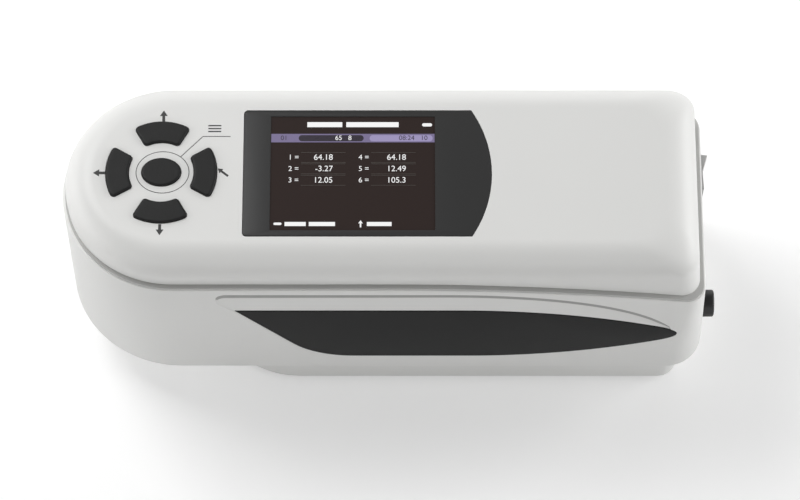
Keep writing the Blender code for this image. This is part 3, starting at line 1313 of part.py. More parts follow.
def make_measure_button():
    """Round button that slides along X, and the switch that it presses."""
    face_x = LENGTH / 2
    panel_depth = HOUSING_WALL + FIT_GAP + PANEL_FLANGE_THICKNESS
    flange_front = end_x(MEASURE_Z + MEASURE_RADIUS) - panel_depth - MEASURE_SLACK
    flange_back = flange_front - MEASURE_FLANGE_THICKNESS
    chamfer = MEASURE_ROUND * (1 - math.cos(math.pi / 4))
    profile = [
        (0, flange_back - face_x),
        (MEASURE_RADIUS + MEASURE_FLANGE, flange_back - face_x),
        (MEASURE_RADIUS + MEASURE_FLANGE, flange_front - face_x),
        (MEASURE_RADIUS, flange_front - face_x),
        (MEASURE_RADIUS, -MEASURE_ROUND),
        (MEASURE_RADIUS - chamfer, -chamfer),
        (MEASURE_RADIUS - MEASURE_ROUND, 0),
        (0, 0),
    ]
    button = moved(turned(profile), Matrix.Rotation(math.pi / 2, 4, "Y"))
    object_from("measure_button", button, BLACK_ABS, (face_x, MEASURE_Y, MEASURE_Z))
    plunger_front = flange_back - MEASURE_TRAVEL - FIT_GAP
    body_front = plunger_front - MEASURE_PLUNGER_LENGTH
    back = board_face_x() + FIT_GAP
    side = MEASURE_SWITCH_SIDE
    body = end_box(MEASURE_Y, MEASURE_Z, side, side, back, body_front)
    switch = object_from("measure_switch", body, BLACK_ABS)
    start = (body_front - SINK, MEASURE_Y, MEASURE_Z)
    plunger = rod(MEASURE_PLUNGER, start, (plunger_front, MEASURE_Y, MEASURE_Z), SMALL_SIDES)
    return join(switch, object_from("switch_plunger", plunger))


def make_ribbon_cable():
    """Flat cable from behind the interface board up and over to the main board's underside."""
    face = INTERFACE_BOARD_X - FIT_GAP
    under = BOARD_TOP_Z - BOARD_THICKNESS - FIT_GAP
    end = BOARD_RIGHT_X - RIBBON_TURN
    path = [(face, RIBBON_START_Z), (face, RIBBON_TURN_Z), (face - RIBBON_TURN, under), (end, under)]
    path = rounded(path, [0, RIBBON_BEND, RIBBON_BEND, 0])
    back = [(x - RIBBON_THICKNESS, z - RIBBON_THICKNESS) for x, z in path]
    sides = []
    for y in (-RIBBON_WIDTH / 2, RIBBON_WIDTH / 2):
        sides.append([(x, y, z) for x, z in path + back[::-1]])
    return object_from("ribbon_cable", lofted(sides), POLYESTER)


def main():
    for obj in list(bpy.data.objects):
        bpy.data.objects.remove(obj)
    make_upper_cover()
    make_lower_housing()
    make_seam_gasket()
    make_grips()
    make_base_housing()
    make_pads()
    make_battery_door()
    make_battery_pack()
    make_display()
    make_keys()
    make_keypad_mat()
    make_boards()
    make_screws()
    make_optics_chassis()
    make_optics()
    make_aperture()
    make_interface_panel()
    make_interface_board()
    make_sockets()
    make_power_switch()
    make_measure_button()
    make_ribbon_cable()


main()
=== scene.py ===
"""Looks of the portable colorimeter: fine shells, finishes, printed marks and the display's picture."""

import json
import math

import bmesh
import bpy
from mathutils import Matrix, Vector


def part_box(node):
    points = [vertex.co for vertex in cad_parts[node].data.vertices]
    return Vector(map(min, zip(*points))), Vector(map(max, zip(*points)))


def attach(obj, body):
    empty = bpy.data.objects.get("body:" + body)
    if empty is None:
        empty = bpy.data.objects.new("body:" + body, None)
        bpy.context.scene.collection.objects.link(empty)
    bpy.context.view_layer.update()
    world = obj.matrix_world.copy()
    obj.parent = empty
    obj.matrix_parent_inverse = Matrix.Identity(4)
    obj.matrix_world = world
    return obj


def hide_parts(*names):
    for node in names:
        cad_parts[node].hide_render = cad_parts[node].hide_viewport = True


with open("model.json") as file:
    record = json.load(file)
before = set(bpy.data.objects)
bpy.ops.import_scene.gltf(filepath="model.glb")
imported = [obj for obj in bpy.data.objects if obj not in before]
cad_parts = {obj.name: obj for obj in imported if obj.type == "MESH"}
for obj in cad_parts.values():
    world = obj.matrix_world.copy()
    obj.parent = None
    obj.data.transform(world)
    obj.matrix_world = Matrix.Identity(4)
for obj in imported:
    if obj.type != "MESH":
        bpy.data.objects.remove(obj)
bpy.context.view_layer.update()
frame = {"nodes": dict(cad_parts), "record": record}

# Case sizes in metres, as in the solids
HEIGHT = 0.095
FOOT_HALF_WIDTH = 0.0340
SIDE_DRAFT = 0.0010
END_DRAFT = 0.0023
NOSE_STRETCH = 0.0018
RIGHT_X = 0.1003
NOSE_X = -0.0675
FOOT_CORNER = 0.0115
LIP_CORNER = 0.0060
HOUSING_BOTTOM = 0.0190
HOUSING_EDGE = 0.0012
HOUSING_WALL = 0.0024
LIP_Z = 0.0798
SEAM_START_X = -0.0021
SEAM_RADIUS = 0.484
SEAM_GROOVE = 0.0014
SEAM_FILLET = 0.0004
GASKET_INSET = 0.0002
GASKET_WIDTH = 0.0030
GASKET_NOSE_INSET = 0.0007
GASKET_RIGHT_INSET = 0.0005
COVER_STEP = 0.0014
COVER_END_STEP = 0.0019
COVER_CORNER = 0.0065
COVER_WALL = 0.0024
COVER_ROUND = 0.0090
COVER_END_ROUND = 0.0123
COVER_END_DRAFT = 0.0012
COVER_CORNER_GAIN = 0.0035
LIP_HALF_WIDTH = FOOT_HALF_WIDTH - SIDE_DRAFT
LIP_RIGHT_X = RIGHT_X - END_DRAFT
COVER_HALF_WIDTH = LIP_HALF_WIDTH - COVER_STEP
COVER_RIGHT_X = LIP_RIGHT_X - COVER_END_STEP
WALL_FOOT_Z = HOUSING_BOTTOM + HOUSING_EDGE
FLOOR_Z = HOUSING_BOTTOM + HOUSING_WALL

# Finger recess and grip
RECESS_DEPTH = 0.0012
RECESS_TOP_Z = 0.0763
RECESS_LEFT_X = -0.0544
RECESS_SHOULDER_Z = 0.0705
RECESS_CORNER = 0.0034
RECESS_BEND_X = 0.0168
RECESS_PULL_X = 0.0498
RECESS_FALL_X = 0.0778
RECESS_FALL_Z = 0.0675
RECESS_END_X = 0.0883
RECESS_END_Z = 0.0505
RECESS_FILLET = 0.0003
RECESS_STEPS = 110
RAMP_FOOT = 0.0001
# The strip under the recess's crease: a dark grey sheet that paints the shade under the crease's overhang
SHADE_STRIP_HEIGHT = 0.0026
SHADE_STRIP_WAIST = 0.0023
SHADE_STRIP_TIP = 0.0021
SHADE_STRIP_BEND_X = 0.0150
SHADE_STRIP_DEPTH = 0.00015
SHADE_STRIP_SHARE = 0.5
GRIP_TOP_Z = 0.0643
GRIP_BOTTOM_Z = 0.0284
GRIP_LEFT_X = -0.0487
GRIP_HEEL_X = -0.0244
GRIP_HEEL_RADIUS = 0.0225
GRIP_TOP_BEND_X = 0.0210
GRIP_TOP_RADIUS = 0.162
GRIP_BOTTOM_BEND_X = 0.0243
GRIP_BOTTOM_RADIUS = 0.150
GRIP_NOSE_X = 0.0838
GRIP_NOSE_REACH = 0.0066
GRIP_PROUD = 0.00012
GRIP_EDGE = 0.0003

# Display
WINDOW_LEFT_X = -0.04555
WINDOW_RIGHT_X = 0.0249
WINDOW_BULGE = 0.0062
WINDOW_HALF_WIDTH = 0.0214
WINDOW_CORNER = 0.0013
WINDOW_THICKNESS = 0.0015
WINDOW_GAP = 0.00015
SCREEN_X = -0.01175
SCREEN_LENGTH = 0.0507
SCREEN_WIDTH = 0.0385
SCREEN_SINK = 0.0002
SCREEN_THICKNESS = 0.0009
INK = 0.00003

# Keypad
KEYPAD_X = -0.0707
KEYPAD_Y = 0.0002
KEY_OUTER_RADIUS = 0.0171
KEY_INNER_RADIUS = 0.0101
KEY_HALF_ANGLE = math.radians(30)
KEY_CORNER = 0.0011
ENTER_LENGTH = 0.0121
ENTER_WIDTH = 0.0093
KEY_TOP = 0.0009
KEY_EDGE = 0.00045
KEY_GAP = 0.0002
KEY_FLANGE = 0.0008
KEY_FLANGE_DEPTH = 0.0011

# Square end
MEASURE_Y = -0.0188
MEASURE_Z = 0.0360
MEASURE_RADIUS = 0.00435
MEASURE_EDGE = 0.0007
MEASURE_FLANGE = 0.0010
MEASURE_FLANGE_DEPTH = 0.0012
PANEL_FLANGE = 0.0013
ROCKER_FRAME_X = 0.0983

# Printed marks
ARROW_STEM = 0.0009
ARROW_HEAD = 0.0024
ARROW_HEAD_LENGTH = 0.0019
ARROW_UP_X = KEYPAD_X + 0.0003
ARROW_UP_TIP = 0.0213
ARROW_DOWN_TIP = 0.02095
ARROW_LEFT_TIP_X = -0.0917
BACK_TAIL = (-0.0501, -0.0011)
BACK_TIP = (-0.0533, 0.0015)
BACK_SCALE = 0.75
LINE_WIDTH = 0.00022
RING_X = -0.0703
RING_HALF_LENGTH = 0.00815
RING_HALF_WIDTH = 0.0070
LEADER = ((-0.0649, 0.0054), (-0.0581, 0.0124), (-0.0496, 0.0124))
MENU_LEFT_X = -0.0565
MENU_RIGHT_X = -0.0525
MENU_Y = 0.0141
MENU_PITCH = 0.0010
MENU_BAR = 0.0004

# Clearances, and the angles at which faces count as flat or as smooth
FIT_GAP = 0.0003
HAIR_GAP = FIT_GAP / 3
OVERRUN = 0.002
WELD = INK / 10
FLAT_ANGLE = math.radians(0.5)
SMOOTH_ANGLE = math.radians(32)

# The display's picture: its edges in the photograph's pixels, its rows and its figures
VIEW_LEFT, VIEW_RIGHT, VIEW_TOP, VIEW_BOTTOM = 271.2, 435.3, 116.0, 229.5
FIRST_ROW = 157
ROW_PITCH = 11.4
ROW_HALF_HEIGHT = 5.0
ROW_LINE = 0.2
COLUMNS = (
    (299.5, 301.5, 346, 333.5, ("64.18", "-3.27", "12.05")),
    (369.5, 371.5, 416, 406.5, ("64.18", "12.49", "105.3")),
)
VALUE_SIZE = 0.0027
LABEL_SIZE = 0.0024
BAND_SIZE = 0.0022
PILL_ROUND = 0.49

# Studio: camera and lamps in metres, watts and millimetres of lens
CAMERA_PLACE = (0.0028, -0.4633, 1.1010)
CAMERA_TARGET = (0.0028, -0.0063, 0.050)
LENS = 161.9
SENSOR = 36.0
FLOOR_SIZE = 3
FLOOR_GLOW = 0.25
SKY_LEVEL = 0.19
LAMP_TARGET = (0, 0, 0.05)
LAMPS = {
    "soft_left": ((-1.2, 0.0, 0.35), (1.2, 0.7), 5.3),
    "soft_right": ((1.2, 0.1, 0.35), (1.2, 0.7), 10.7),
    "soft_rear": ((-0.2, 1.2, 0.45), (1.8, 0.7), 5.8),
    "soft_top": ((-0.6, 0.5, 1.2), (0.6, 0.6), 8.4),
    "soft_front": ((-0.1, -1.3, 0.5), (1.4, 0.6), 3.2),
}

# Steps along curves
NOSE_STEPS = 72
SIDE_STEPS = 36
CORNER_STEPS = 14
ROUND_STEPS = 16
EDGE_STEPS = 4
ARC_STEPS = 40
RING_STEPS = 96


def linear(code):
    """Linear RGBA of an sRGB hex colour."""
    parts = [int(code[i : i + 2], 16) / 255 for i in (1, 3, 5)]
    return (*[c / 12.92 if c <= 0.04045 else ((c + 0.055) / 1.055) ** 2.4 for c in parts], 1)


def add(material, kind, inputs=(), **settings):
    """A node with its settings; an input that is a socket is linked."""
    made = material.node_tree.nodes.new("ShaderNode" + kind)
    for name, value in settings.items():
        setattr(made, name, value)
    for name, value in dict(inputs).items():
        if isinstance(value, bpy.types.NodeSocket):
            material.node_tree.links.new(value, made.inputs[name])
        else:
            made.inputs[name].default_value = value
    return made


def surface(name, inputs):
    """A material with one Principled shader."""
    material = bpy.data.materials.new(name)
    material.use_nodes = True
    shader = material.node_tree.nodes["Principled BSDF"]
    for socket, value in inputs.items():
        shader.inputs[socket].default_value = value
    return material, shader


def grain(material, shader, size, depth, tint=None, spread=0.04):
    """Fine relief of a grain size, with some of it in the roughness and, given two tints, in the colour."""
    place = add(material, "TexCoord").outputs["Object"]
    noise = add(material, "TexNoise", {"Vector": place, "Scale": 1 / size, "Detail": 3.0, "Roughness": 0.6})
    bump = add(material, "Bump", {"Height": noise.outputs["Fac"], "Strength": 1.0, "Distance": depth})
    material.node_tree.links.new(bump.outputs["Normal"], shader.inputs["Normal"])
    rough = shader.inputs["Roughness"].default_value
    levels = {"Value": noise.outputs["Fac"], "To Min": rough - spread, "To Max": rough + spread}
    mapped = add(material, "MapRange", levels)
    material.node_tree.links.new(mapped.outputs["Result"], shader.inputs["Roughness"])
    if tint:
        broad = add(material, "TexNoise", {"Vector": place, "Scale": 1 / (60 * size), "Detail": 2.0})
        mixed = add(material, "Mix", data_type="RGBA", inputs={"Factor": broad.outputs["Fac"]})
        mixed.inputs["A"].default_value = linear(tint[0])
        mixed.inputs["B"].default_value = linear(tint[1])
        material.node_tree.links.new(mixed.outputs["Result"], shader.inputs["Base Color"])
    return material


def white_abs():
    """ABS, injection moulded against a spark-eroded tool: an even satin white with a fine grain."""
    material, shader = surface("white_abs_moulded", {"Roughness": 0.42})
    return grain(material, shader, 0.0005, 0.000006, ("#E9E9E7", "#E6E6E4"))


def grey_silicone(name, light, dark):
    """Silicone, moulded: matt grey. Given darker tints, the same finish is the painted shade of the strip
    under the recess's crease.
    """
    material, shader = surface(name, {"Roughness": 0.62})
    return grain(material, shader, 0.0006, 0.00001, (light, dark))


def black_rubber():
    """Thermoplastic rubber, moulded over the pad's core: dull, with a soft sheen at a low angle."""
    material, shader = surface(
        "black_rubber_moulded", {"Roughness": 0.6, "Specular IOR Level": 0.1, "Sheen Weight": 0.03}
    )
    return grain(material, shader, 0.0004, 0.00002, ("#2A2A2A", "#282828"))


def key_abs():
    """ABS, moulded with a coarse spark-eroded grain, drawn at 0.5 mm so that it shows."""
    material, shader = surface("black_abs_key_caps", {"Roughness": 0.48, "Specular IOR Level": 0.25})
    return grain(material, shader, 0.0005, 0.00005, ("#1F1F1F", "#1C1C1C"), 0.08)


def black_abs():
    """ABS, moulded: satin black."""
    material, shader = surface("black_abs_moulded", {"Roughness": 0.42})
    return grain(material, shader, 0.0004, 0.00001, ("#2F2F2F", "#2C2C2C"))


def printed_acrylic():
    """Acrylic pane, printed charcoal on its back and hard coated, so the black lies under a gloss."""
    gloss = {"Specular IOR Level": 0.0, "Coat Weight": 0.4, "Coat Roughness": 0.3, "Coat IOR": 1.49}
    material, shader = surface("acrylic_back_printed", {"Roughness": 0.35, **gloss})
    return grain(material, shader, 0.0008, 0.000001, ("#3B3B3B", "#393939"))


def display_glass():
    """Liquid crystal glass, bonded under the pane and lit from behind: a warm black."""
    gloss = {"Specular IOR Level": 0.0, "Coat Weight": 0.25, "Coat Roughness": 0.2, "Coat IOR": 1.49}
    material, shader = surface("display_glass_lit", {"Roughness": 0.3, **gloss})
    return grain(material, shader, 0.0006, 0.000001, ("#372E2C", "#362D2B"))


def lit(name, code, strength=1.0):
    """Part of the display's picture, lit from behind."""
    material, shader = surface(
        name, {"Base Color": (0, 0, 0, 1), "Roughness": 0.3, "Emission Strength": strength}
    )
    shader.inputs["Emission Color"].default_value = linear(code)
    return material


def printing_ink():
    """Pad-printed ink: a thin dull charcoal film."""
    material, shader = surface("pad_printed_ink", {"Roughness": 0.55})
    return grain(material, shader, 0.0003, 0.000002, ("#3A3A3A", "#363636"))


def circuit_board():
    """Glass laminate under green solder mask, with the glass cloth's faint weave."""
    material, shader = surface("solder_mask_board", {"Roughness": 0.4, "Coat Weight": 0.3})
    return grain(material, shader, 0.0004, 0.00001, ("#1C5A34", "#164A2B"))


def plated_steel():
    """Steel, nickel plated."""
    material, shader = surface("nickel_plated_steel", {"Metallic": 1.0, "Roughness": 0.28})
    return grain(material, shader, 0.0003, 0.000004, ("#C4C2BC", "#B8B6B0"))


def aluminium():
    """Aluminium, milled and clear anodised."""
    material, shader = surface("clear_anodised_aluminium", {"Metallic": 1.0, "Roughness": 0.36})
    return grain(material, shader, 0.0004, 0.000006, ("#CACBCE", "#BDBEC1"))


def sphere_coating():
    """Barium sulphate coating, sprayed: a chalky, fully matt white."""
    material, shader = surface("barium_sulphate_sprayed", {"Roughness": 0.95})
    return grain(material, shader, 0.0004, 0.00004, ("#F2F2F0", "#EDEDEB"))


def pack_sleeve():
    """Heat-shrunk vinyl sleeve: glossy blue with soft ripples."""
    material, shader = surface("shrink_sleeve_vinyl", {"Roughness": 0.3})
    return grain(material, shader, 0.004, 0.0001, ("#1E4E8C", "#1B477F"))


def lens_glass():
    """Optical glass, polished."""
    material, shader = surface("polished_lens_glass", {"Roughness": 0.04, "Transmission Weight": 0.9})
    return grain(material, shader, 0.002, 0.0000005, ("#DDE8EA", "#D5E2E5"), 0.01)


def ribbon_polyester():
    """Polyester laminate over flat copper."""
    material, shader = surface("ribbon_polyester_laminated", {"Roughness": 0.35})
    return grain(material, shader, 0.0008, 0.00001, ("#D8DAD8", "#CBD0CF"))


SLOT_FINISH = {
    "white_abs": white_abs(),
    "grey_silicone": grey_silicone("grey_silicone_moulded", "#BEBEBC", "#BABAB8"),
    "black_rubber": black_rubber(),
    "key_abs": key_abs(),
    "black_abs": black_abs(),
    "window_acrylic": printed_acrylic(),
    "display_glass": display_glass(),
    "circuit_board": circuit_board(),
    "steel": plated_steel(),
    "aluminium": aluminium(),
    "sphere_coating": sphere_coating(),
    "pack_sleeve": pack_sleeve(),
    "lens_glass": lens_glass(),
    "ribbon_polyester": ribbon_polyester(),
}
INK_FINISH = printing_ink()
# Darker grey for the strip under the recess's crease: painted shade standing in for the shadow under its
# overhang
CREASE_SHADE_FINISH = grey_silicone("painted_crease_shade", "#A4A4A2", "#A0A09E")


def finish_nodes():
    """Every CAD node takes its slot's finish."""
    for row in frame["record"]["subparts"]:
        node = frame["nodes"][row["node"]]
        node.data.materials.clear()
        node.data.materials.append(SLOT_FINISH[row["material_slot"]])


def piece(name, bm, finish, body="housing", replaces=()):
    """A finished piece from a bmesh."""
    mesh = bpy.data.meshes.new(name)
    bm.to_mesh(mesh)
    bm.free()
    return placed(name, mesh, finish, body, replaces)


def placed(name, mesh, finish, body="housing", replaces=()):
    """A finished mesh as an object: smooth with its sharp edges kept, riding on its body."""
    mesh.materials.clear()
    mesh.materials.append(finish)
    mesh.shade_smooth()
    mesh.set_sharp_from_angle(angle=SMOOTH_ANGLE)
    obj = bpy.data.objects.new(name, mesh)
    bpy.context.scene.collection.objects.link(obj)
    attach(obj, body)
    if replaces:
        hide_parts(*replaces)
    return obj


def carved(bm, cutters):
    """Mesh of a bmesh with others cut out of it."""
    made = []
    for part in (bm, *cutters):
        bmesh.ops.recalc_face_normals(part, faces=part.faces)
        mesh = bpy.data.meshes.new("carving")
        part.to_mesh(mesh)
        part.free()
        made.append(bpy.data.objects.new("carving", mesh))
        bpy.context.scene.collection.objects.link(made[-1])
    for cutter in made[1:]:
        modifier = made[0].modifiers.new("cut", "BOOLEAN")
        modifier.operation = "DIFFERENCE"
        modifier.object = cutter
    graph = bpy.context.evaluated_depsgraph_get()
    result = bpy.data.meshes.new_from_object(made[0].evaluated_get(graph))
    for obj in made:
        mesh = obj.data
        bpy.data.objects.remove(obj)
        bpy.data.meshes.remove(mesh)
    return result


def skin(rings, cap_first=True, cap_last=True):
    """A skin drawn through rings of points, by extruding the first ring's edges from one to the next."""
    bm = bmesh.new()
    loop = [bm.verts.new(point) for point in rings[0]]
    edges = [bm.edges.new(pair) for pair in zip(loop, loop[1:] + loop[:1])]
    first = edges
    for ring in rings[1:]:
        made = bmesh.ops.extrude_edge_only(bm, edges=edges)["geom"]
        fresh = {item for item in made if isinstance(item, bmesh.types.BMVert)}
        loop = [next(e.other_vert(v) for e in v.link_edges if e.other_vert(v) in fresh) for v in loop]
        for vert, point in zip(loop, ring):
            vert.co = point
        edges = [bm.edges.get(pair) for pair in zip(loop, loop[1:] + loop[:1])]
    for wanted, rim in ((cap_first, first), (cap_last, edges)):
        if wanted:
            bmesh.ops.contextual_create(bm, geom=rim)
    bmesh.ops.recalc_face_normals(bm, faces=bm.faces)
    return bm


def flat_ring(points, height):
    """A level ring over a plan."""
    return [(x, y, height) for x, y in points]


def slab(points, bottom, top, edge=0):
    """An outline between two heights, with its upper edge rounded by edge."""
    rings = [flat_ring(points, bottom), flat_ring(points, top - edge)]
    for i in range(1, EDGE_STEPS + 1 if edge else 0):
        turn = math.pi / 2 * i / EDGE_STEPS
        inset, drop = edge * (1 - math.cos(turn)), edge * (1 - math.sin(turn))
        rings.append(flat_ring(grown(points, -inset), top - drop))
    if not edge:
        rings[-1] = flat_ring(points, top)
    return skin(rings)


def arc(centre, radius, start, end, steps):
    """Points along a circle between two angles."""
    angles = [start + (end - start) * i / steps for i in range(steps + 1)]
    return [(centre[0] + radius * math.cos(a), centre[1] + radius * math.sin(a)) for a in angles]


def rounded(points, radii, steps=8):
    """An outline with each corner rounded to its radius."""
    result = []
    for i, point in enumerate(points):
        corner = Vector(point)
        before = (Vector(points[i - 1]) - corner).normalized()
        after = (Vector(points[(i + 1) % len(points)]) - corner).normalized()
        if not radii[i]:
            result.append(tuple(corner))
            continue
        half = before.angle(after) / 2
        middle = corner + (before + after).normalized() * radii[i] / math.sin(half)
        first = (corner + before * radii[i] / math.tan(half) - middle).normalized()
        last = (corner + after * radii[i] / math.tan(half) - middle).normalized()
        for step in range(steps + 1):
            result.append(tuple(middle + first.slerp(last, step / steps) * radii[i]))
    return result


def grown(points, distance):
    """An outline, running anticlockwise, moved outwards by a distance."""
    result = []
    for i, point in enumerate(points):
        here = Vector(point)
        before = (here - Vector(points[i - 1])).normalized()
        after = (Vector(points[(i + 1) % len(points)]) - here).normalized()
        out = Vector((before.y + after.y, -before.x - after.x)).normalized()
        turn = math.cos(before.angle(after) / 2)
        result.append(tuple(here + out * distance / turn))
    return result


def box(low, high):
    """A box between two corners."""
    low, high = Vector(low), Vector(high)
    bm = bmesh.new()
    place = Matrix.Translation((low + high) / 2) @ Matrix.Diagonal((*(high - low), 1))
    bmesh.ops.create_cube(bm, size=1, matrix=place)
    return bm


def rectangle(x, y, length, width):
    """Corners of a rectangle about its middle, anticlockwise."""
    left, right, near, far = x - length / 2, x + length / 2, y - width / 2, y + width / 2
    return [(left, near), (right, near), (right, far), (left, far)]


def turned(profile, steps=64):
    """A closed outline of (radius, height) points spun round the vertical axis."""
    bm = bmesh.new()
    loop = [bm.verts.new((radius, 0, height)) for radius, height in profile]
    edges = [bm.edges.new(pair) for pair in zip(loop, loop[1:] + loop[:1])]
    bmesh.ops.spin(
        bm, geom=loop + edges, axis=(0, 0, 1), cent=(0, 0, 0), angle=math.tau, steps=steps, use_merge=True
    )
    bmesh.ops.remove_doubles(bm, verts=bm.verts, dist=WELD)
    bmesh.ops.recalc_face_normals(bm, faces=bm.faces)
    return bm


# The shells

def body_outline(half_width, nose_reach, right_x, corner, nose_x=NOSE_X):
    """Plan of a shell: a half-ellipse at the keypad end and a square end with round corners."""
    points = []
    for i in range(NOSE_STEPS + 1):
        angle = math.pi / 2 + math.pi * i / NOSE_STEPS
        points.append((nose_x + nose_reach * math.cos(angle), half_width * math.sin(angle)))
    corner_x = right_x - corner
    for i in range(1, SIDE_STEPS):
        points.append((nose_x + (corner_x - nose_x) * i / SIDE_STEPS, -half_width))
    points += arc((corner_x, corner - half_width), corner, -math.pi / 2, 0, CORNER_STEPS)
    points += arc((corner_x, half_width - corner), corner, 0, math.pi / 2, CORNER_STEPS)
    for i in range(1, SIDE_STEPS):
        points.append((corner_x + (nose_x - corner_x) * i / SIDE_STEPS, half_width))
    return points


def lip_z(x):
    """Height of the housing's lip: level, then falling on a wide arc to the square end."""
    run = max(x - SEAM_START_X, 0)
    return LIP_Z - SEAM_RADIUS + math.sqrt(SEAM_RADIUS**2 - run**2)


def seam_ring(points, rise):
    """A ring that follows the lip, this far above it."""
    return [(x, y, lip_z(x) + rise) for x, y in points]


def housing_outline(inset, share):
    """Plan of the housing at a share of the way from its foot to its lip."""
    half_width = FOOT_HALF_WIDTH - SIDE_DRAFT * share - inset
    right_x = RIGHT_X - END_DRAFT * share - inset
    corner = FOOT_CORNER + (LIP_CORNER - FOOT_CORNER) * share - inset
    return body_outline(half_width, half_width + NOSE_STRETCH, right_x, corner)


def wall_share(x, z):
    """How far up the housing's wall a point lies, from 0 at its foot to 1 at its lip."""
    return (z - WALL_FOOT_Z) / (lip_z(x) - WALL_FOOT_Z)


def side_y(x, z):
    """Half width of the housing at a point of its side."""
    return FOOT_HALF_WIDTH - SIDE_DRAFT * wall_share(x, z)


def end_x(z):
    """Place of the square end's face at a height."""
    return RIGHT_X - END_DRAFT * wall_share(LIP_RIGHT_X, z)


def quarter(steps):
    """Sine and cosine at even steps of a quarter turn."""
    turns = [math.pi / 2 * i / steps for i in range(steps + 1)]
    return [(math.sin(t), math.cos(t)) for t in turns]


def cover_outline(inset, end_inset, corner):
    """Plan of the cover, this far inside its foot at the sides and at the square end."""
    half_width = COVER_HALF_WIDTH - inset
    right_x = COVER_RIGHT_X - end_inset
    return body_outline(half_width, half_width + NOSE_STRETCH, right_x, COVER_CORNER - corner)


def cover_rings():
    """From the ceiling down the inside, round the foot and up over the rounded shoulder."""
    rings = []
    for sine, cosine in reversed(quarter(EDGE_STEPS)):
        inset = COVER_WALL + (COVER_ROUND - COVER_WALL) * (1 - cosine)
        end_inset = COVER_WALL + (COVER_END_ROUND - COVER_WALL) * (1 - cosine)
        height = HEIGHT - COVER_ROUND + (COVER_ROUND - COVER_WALL) * sine
        rings.append(flat_ring(cover_outline(inset, end_inset, COVER_WALL), height))
    rings.append(seam_ring(cover_outline(COVER_WALL, COVER_WALL, COVER_WALL), SEAM_GROOVE))
    for sine, cosine in quarter(EDGE_STEPS):
        inset, rise = SEAM_FILLET * (1 - sine), SEAM_GROOVE + SEAM_FILLET * (1 - cosine)
        rings.append(seam_ring(cover_outline(inset, inset, inset), rise))
    for sine, cosine in quarter(ROUND_STEPS):
        inset = COVER_ROUND * (1 - cosine)
        end_inset = COVER_END_DRAFT + (COVER_END_ROUND - COVER_END_DRAFT) * (1 - cosine)
        height = HEIGHT - COVER_ROUND * (1 - sine)
        rings.append(flat_ring(cover_outline(inset, end_inset, -COVER_CORNER_GAIN * sine), height))
    inset, end_inset = COVER_ROUND + FIT_GAP, COVER_END_ROUND + FIT_GAP
    rings.append(flat_ring(cover_outline(inset, end_inset, FIT_GAP - COVER_CORNER_GAIN), HEIGHT))
    return rings


def window_outline(gap):
    """Display window: square corners at the keypad end, an outward arc at the other."""
    half = WINDOW_HALF_WIDTH - gap
    radius = (WINDOW_HALF_WIDTH**2 + WINDOW_BULGE**2) / (2 * WINDOW_BULGE)
    centre = WINDOW_RIGHT_X + WINDOW_BULGE - radius
    swing = math.asin(half / (radius - gap))
    left = WINDOW_LEFT_X + gap
    sketch = [(WINDOW_RIGHT_X, half), (left, half), (left, -half), (WINDOW_RIGHT_X, -half)]
    corners = rounded(sketch, [0, WINDOW_CORNER, WINDOW_CORNER, 0])
    return corners[1:-1] + arc((centre, 0), radius - gap, -swing, swing, ARC_STEPS)


def key_outline(direction, growth):
    """A ring sector about the keypad's centre, pointing at an angle, grown by a distance."""
    corner = KEY_CORNER + growth
    outer_centre = KEY_OUTER_RADIUS - KEY_CORNER
    inner_centre = KEY_INNER_RADIUS + KEY_CORNER
    outer_end = KEY_HALF_ANGLE - math.asin(KEY_CORNER / outer_centre)
    inner_end = KEY_HALF_ANGLE - math.asin(KEY_CORNER / inner_centre)
    side = KEY_HALF_ANGLE + math.pi / 2

    def turn_at(radius, angle, start, end):
        centre = (radius * math.cos(angle), radius * math.sin(angle))
        return arc(centre, corner, start, end, CORNER_STEPS // 2)

    points = arc((0, 0), KEY_OUTER_RADIUS + growth, -outer_end, outer_end, ARC_STEPS // 2)
    points += turn_at(outer_centre, outer_end, outer_end, side)[1:]
    points += turn_at(inner_centre, inner_end, side, inner_end + math.pi)
    points += arc((0, 0), KEY_INNER_RADIUS - growth, inner_end, -inner_end, ARC_STEPS // 2)[1:]
    points += turn_at(inner_centre, -inner_end, math.pi - inner_end, math.tau - side)[1:]
    points += turn_at(outer_centre, -outer_end, -side, -outer_end)[:-1]
    turn = Matrix.Rotation(direction, 2)
    return [tuple(turn @ Vector(point)) for point in points]


def ellipse(half_length, half_width, sides=72):
    """Points round an ellipse."""
    angles = [math.tau * i / sides for i in range(sides)]
    return [(half_length * math.cos(a), half_width * math.sin(a)) for a in angles]


def key_shapes():
    """Each key's name and its outline about the case's origin, as a function of growth."""
    shapes = {}
    for name, turns in (("key_right", 0), ("key_up", 1), ("key_left", 2), ("key_down", 3)):
        shapes[name] = lambda growth, turns=turns: key_outline(turns * math.pi / 2, growth)
    shapes["key_enter"] = lambda growth: ellipse(ENTER_LENGTH / 2 + growth, ENTER_WIDTH / 2 + growth)
    return {
        name: lambda growth, shape=shape: [(x + KEYPAD_X, y + KEYPAD_Y) for x, y in shape(growth)]
        for name, shape in shapes.items()
    }


def make_cover():
    """The upper shell, with the window's seat, the view of the display and the key holes."""
    ceiling = HEIGHT - COVER_WALL
    cutters = [slab(window_outline(0), HEIGHT - WINDOW_THICKNESS - FIT_GAP, HEIGHT + OVERRUN)]
    view = rectangle(SCREEN_X, 0, SCREEN_LENGTH, SCREEN_WIDTH)
    cutters.append(slab(view, ceiling - OVERRUN, HEIGHT))
    for shape in key_shapes().values():
        cutters.append(slab(shape(KEY_GAP), ceiling - OVERRUN, HEIGHT + OVERRUN))
    mesh = carved(skin(cover_rings()), cutters)
    placed("cover_shell", mesh, SLOT_FINISH["white_abs"], replaces=["upper_cover"])


def side_ring(points, side, depth):
    """An outline in X and Z laid on the housing's side, this deep below its face."""
    return [(x, side * (side_y(x, z) - depth), z) for x, z in points]


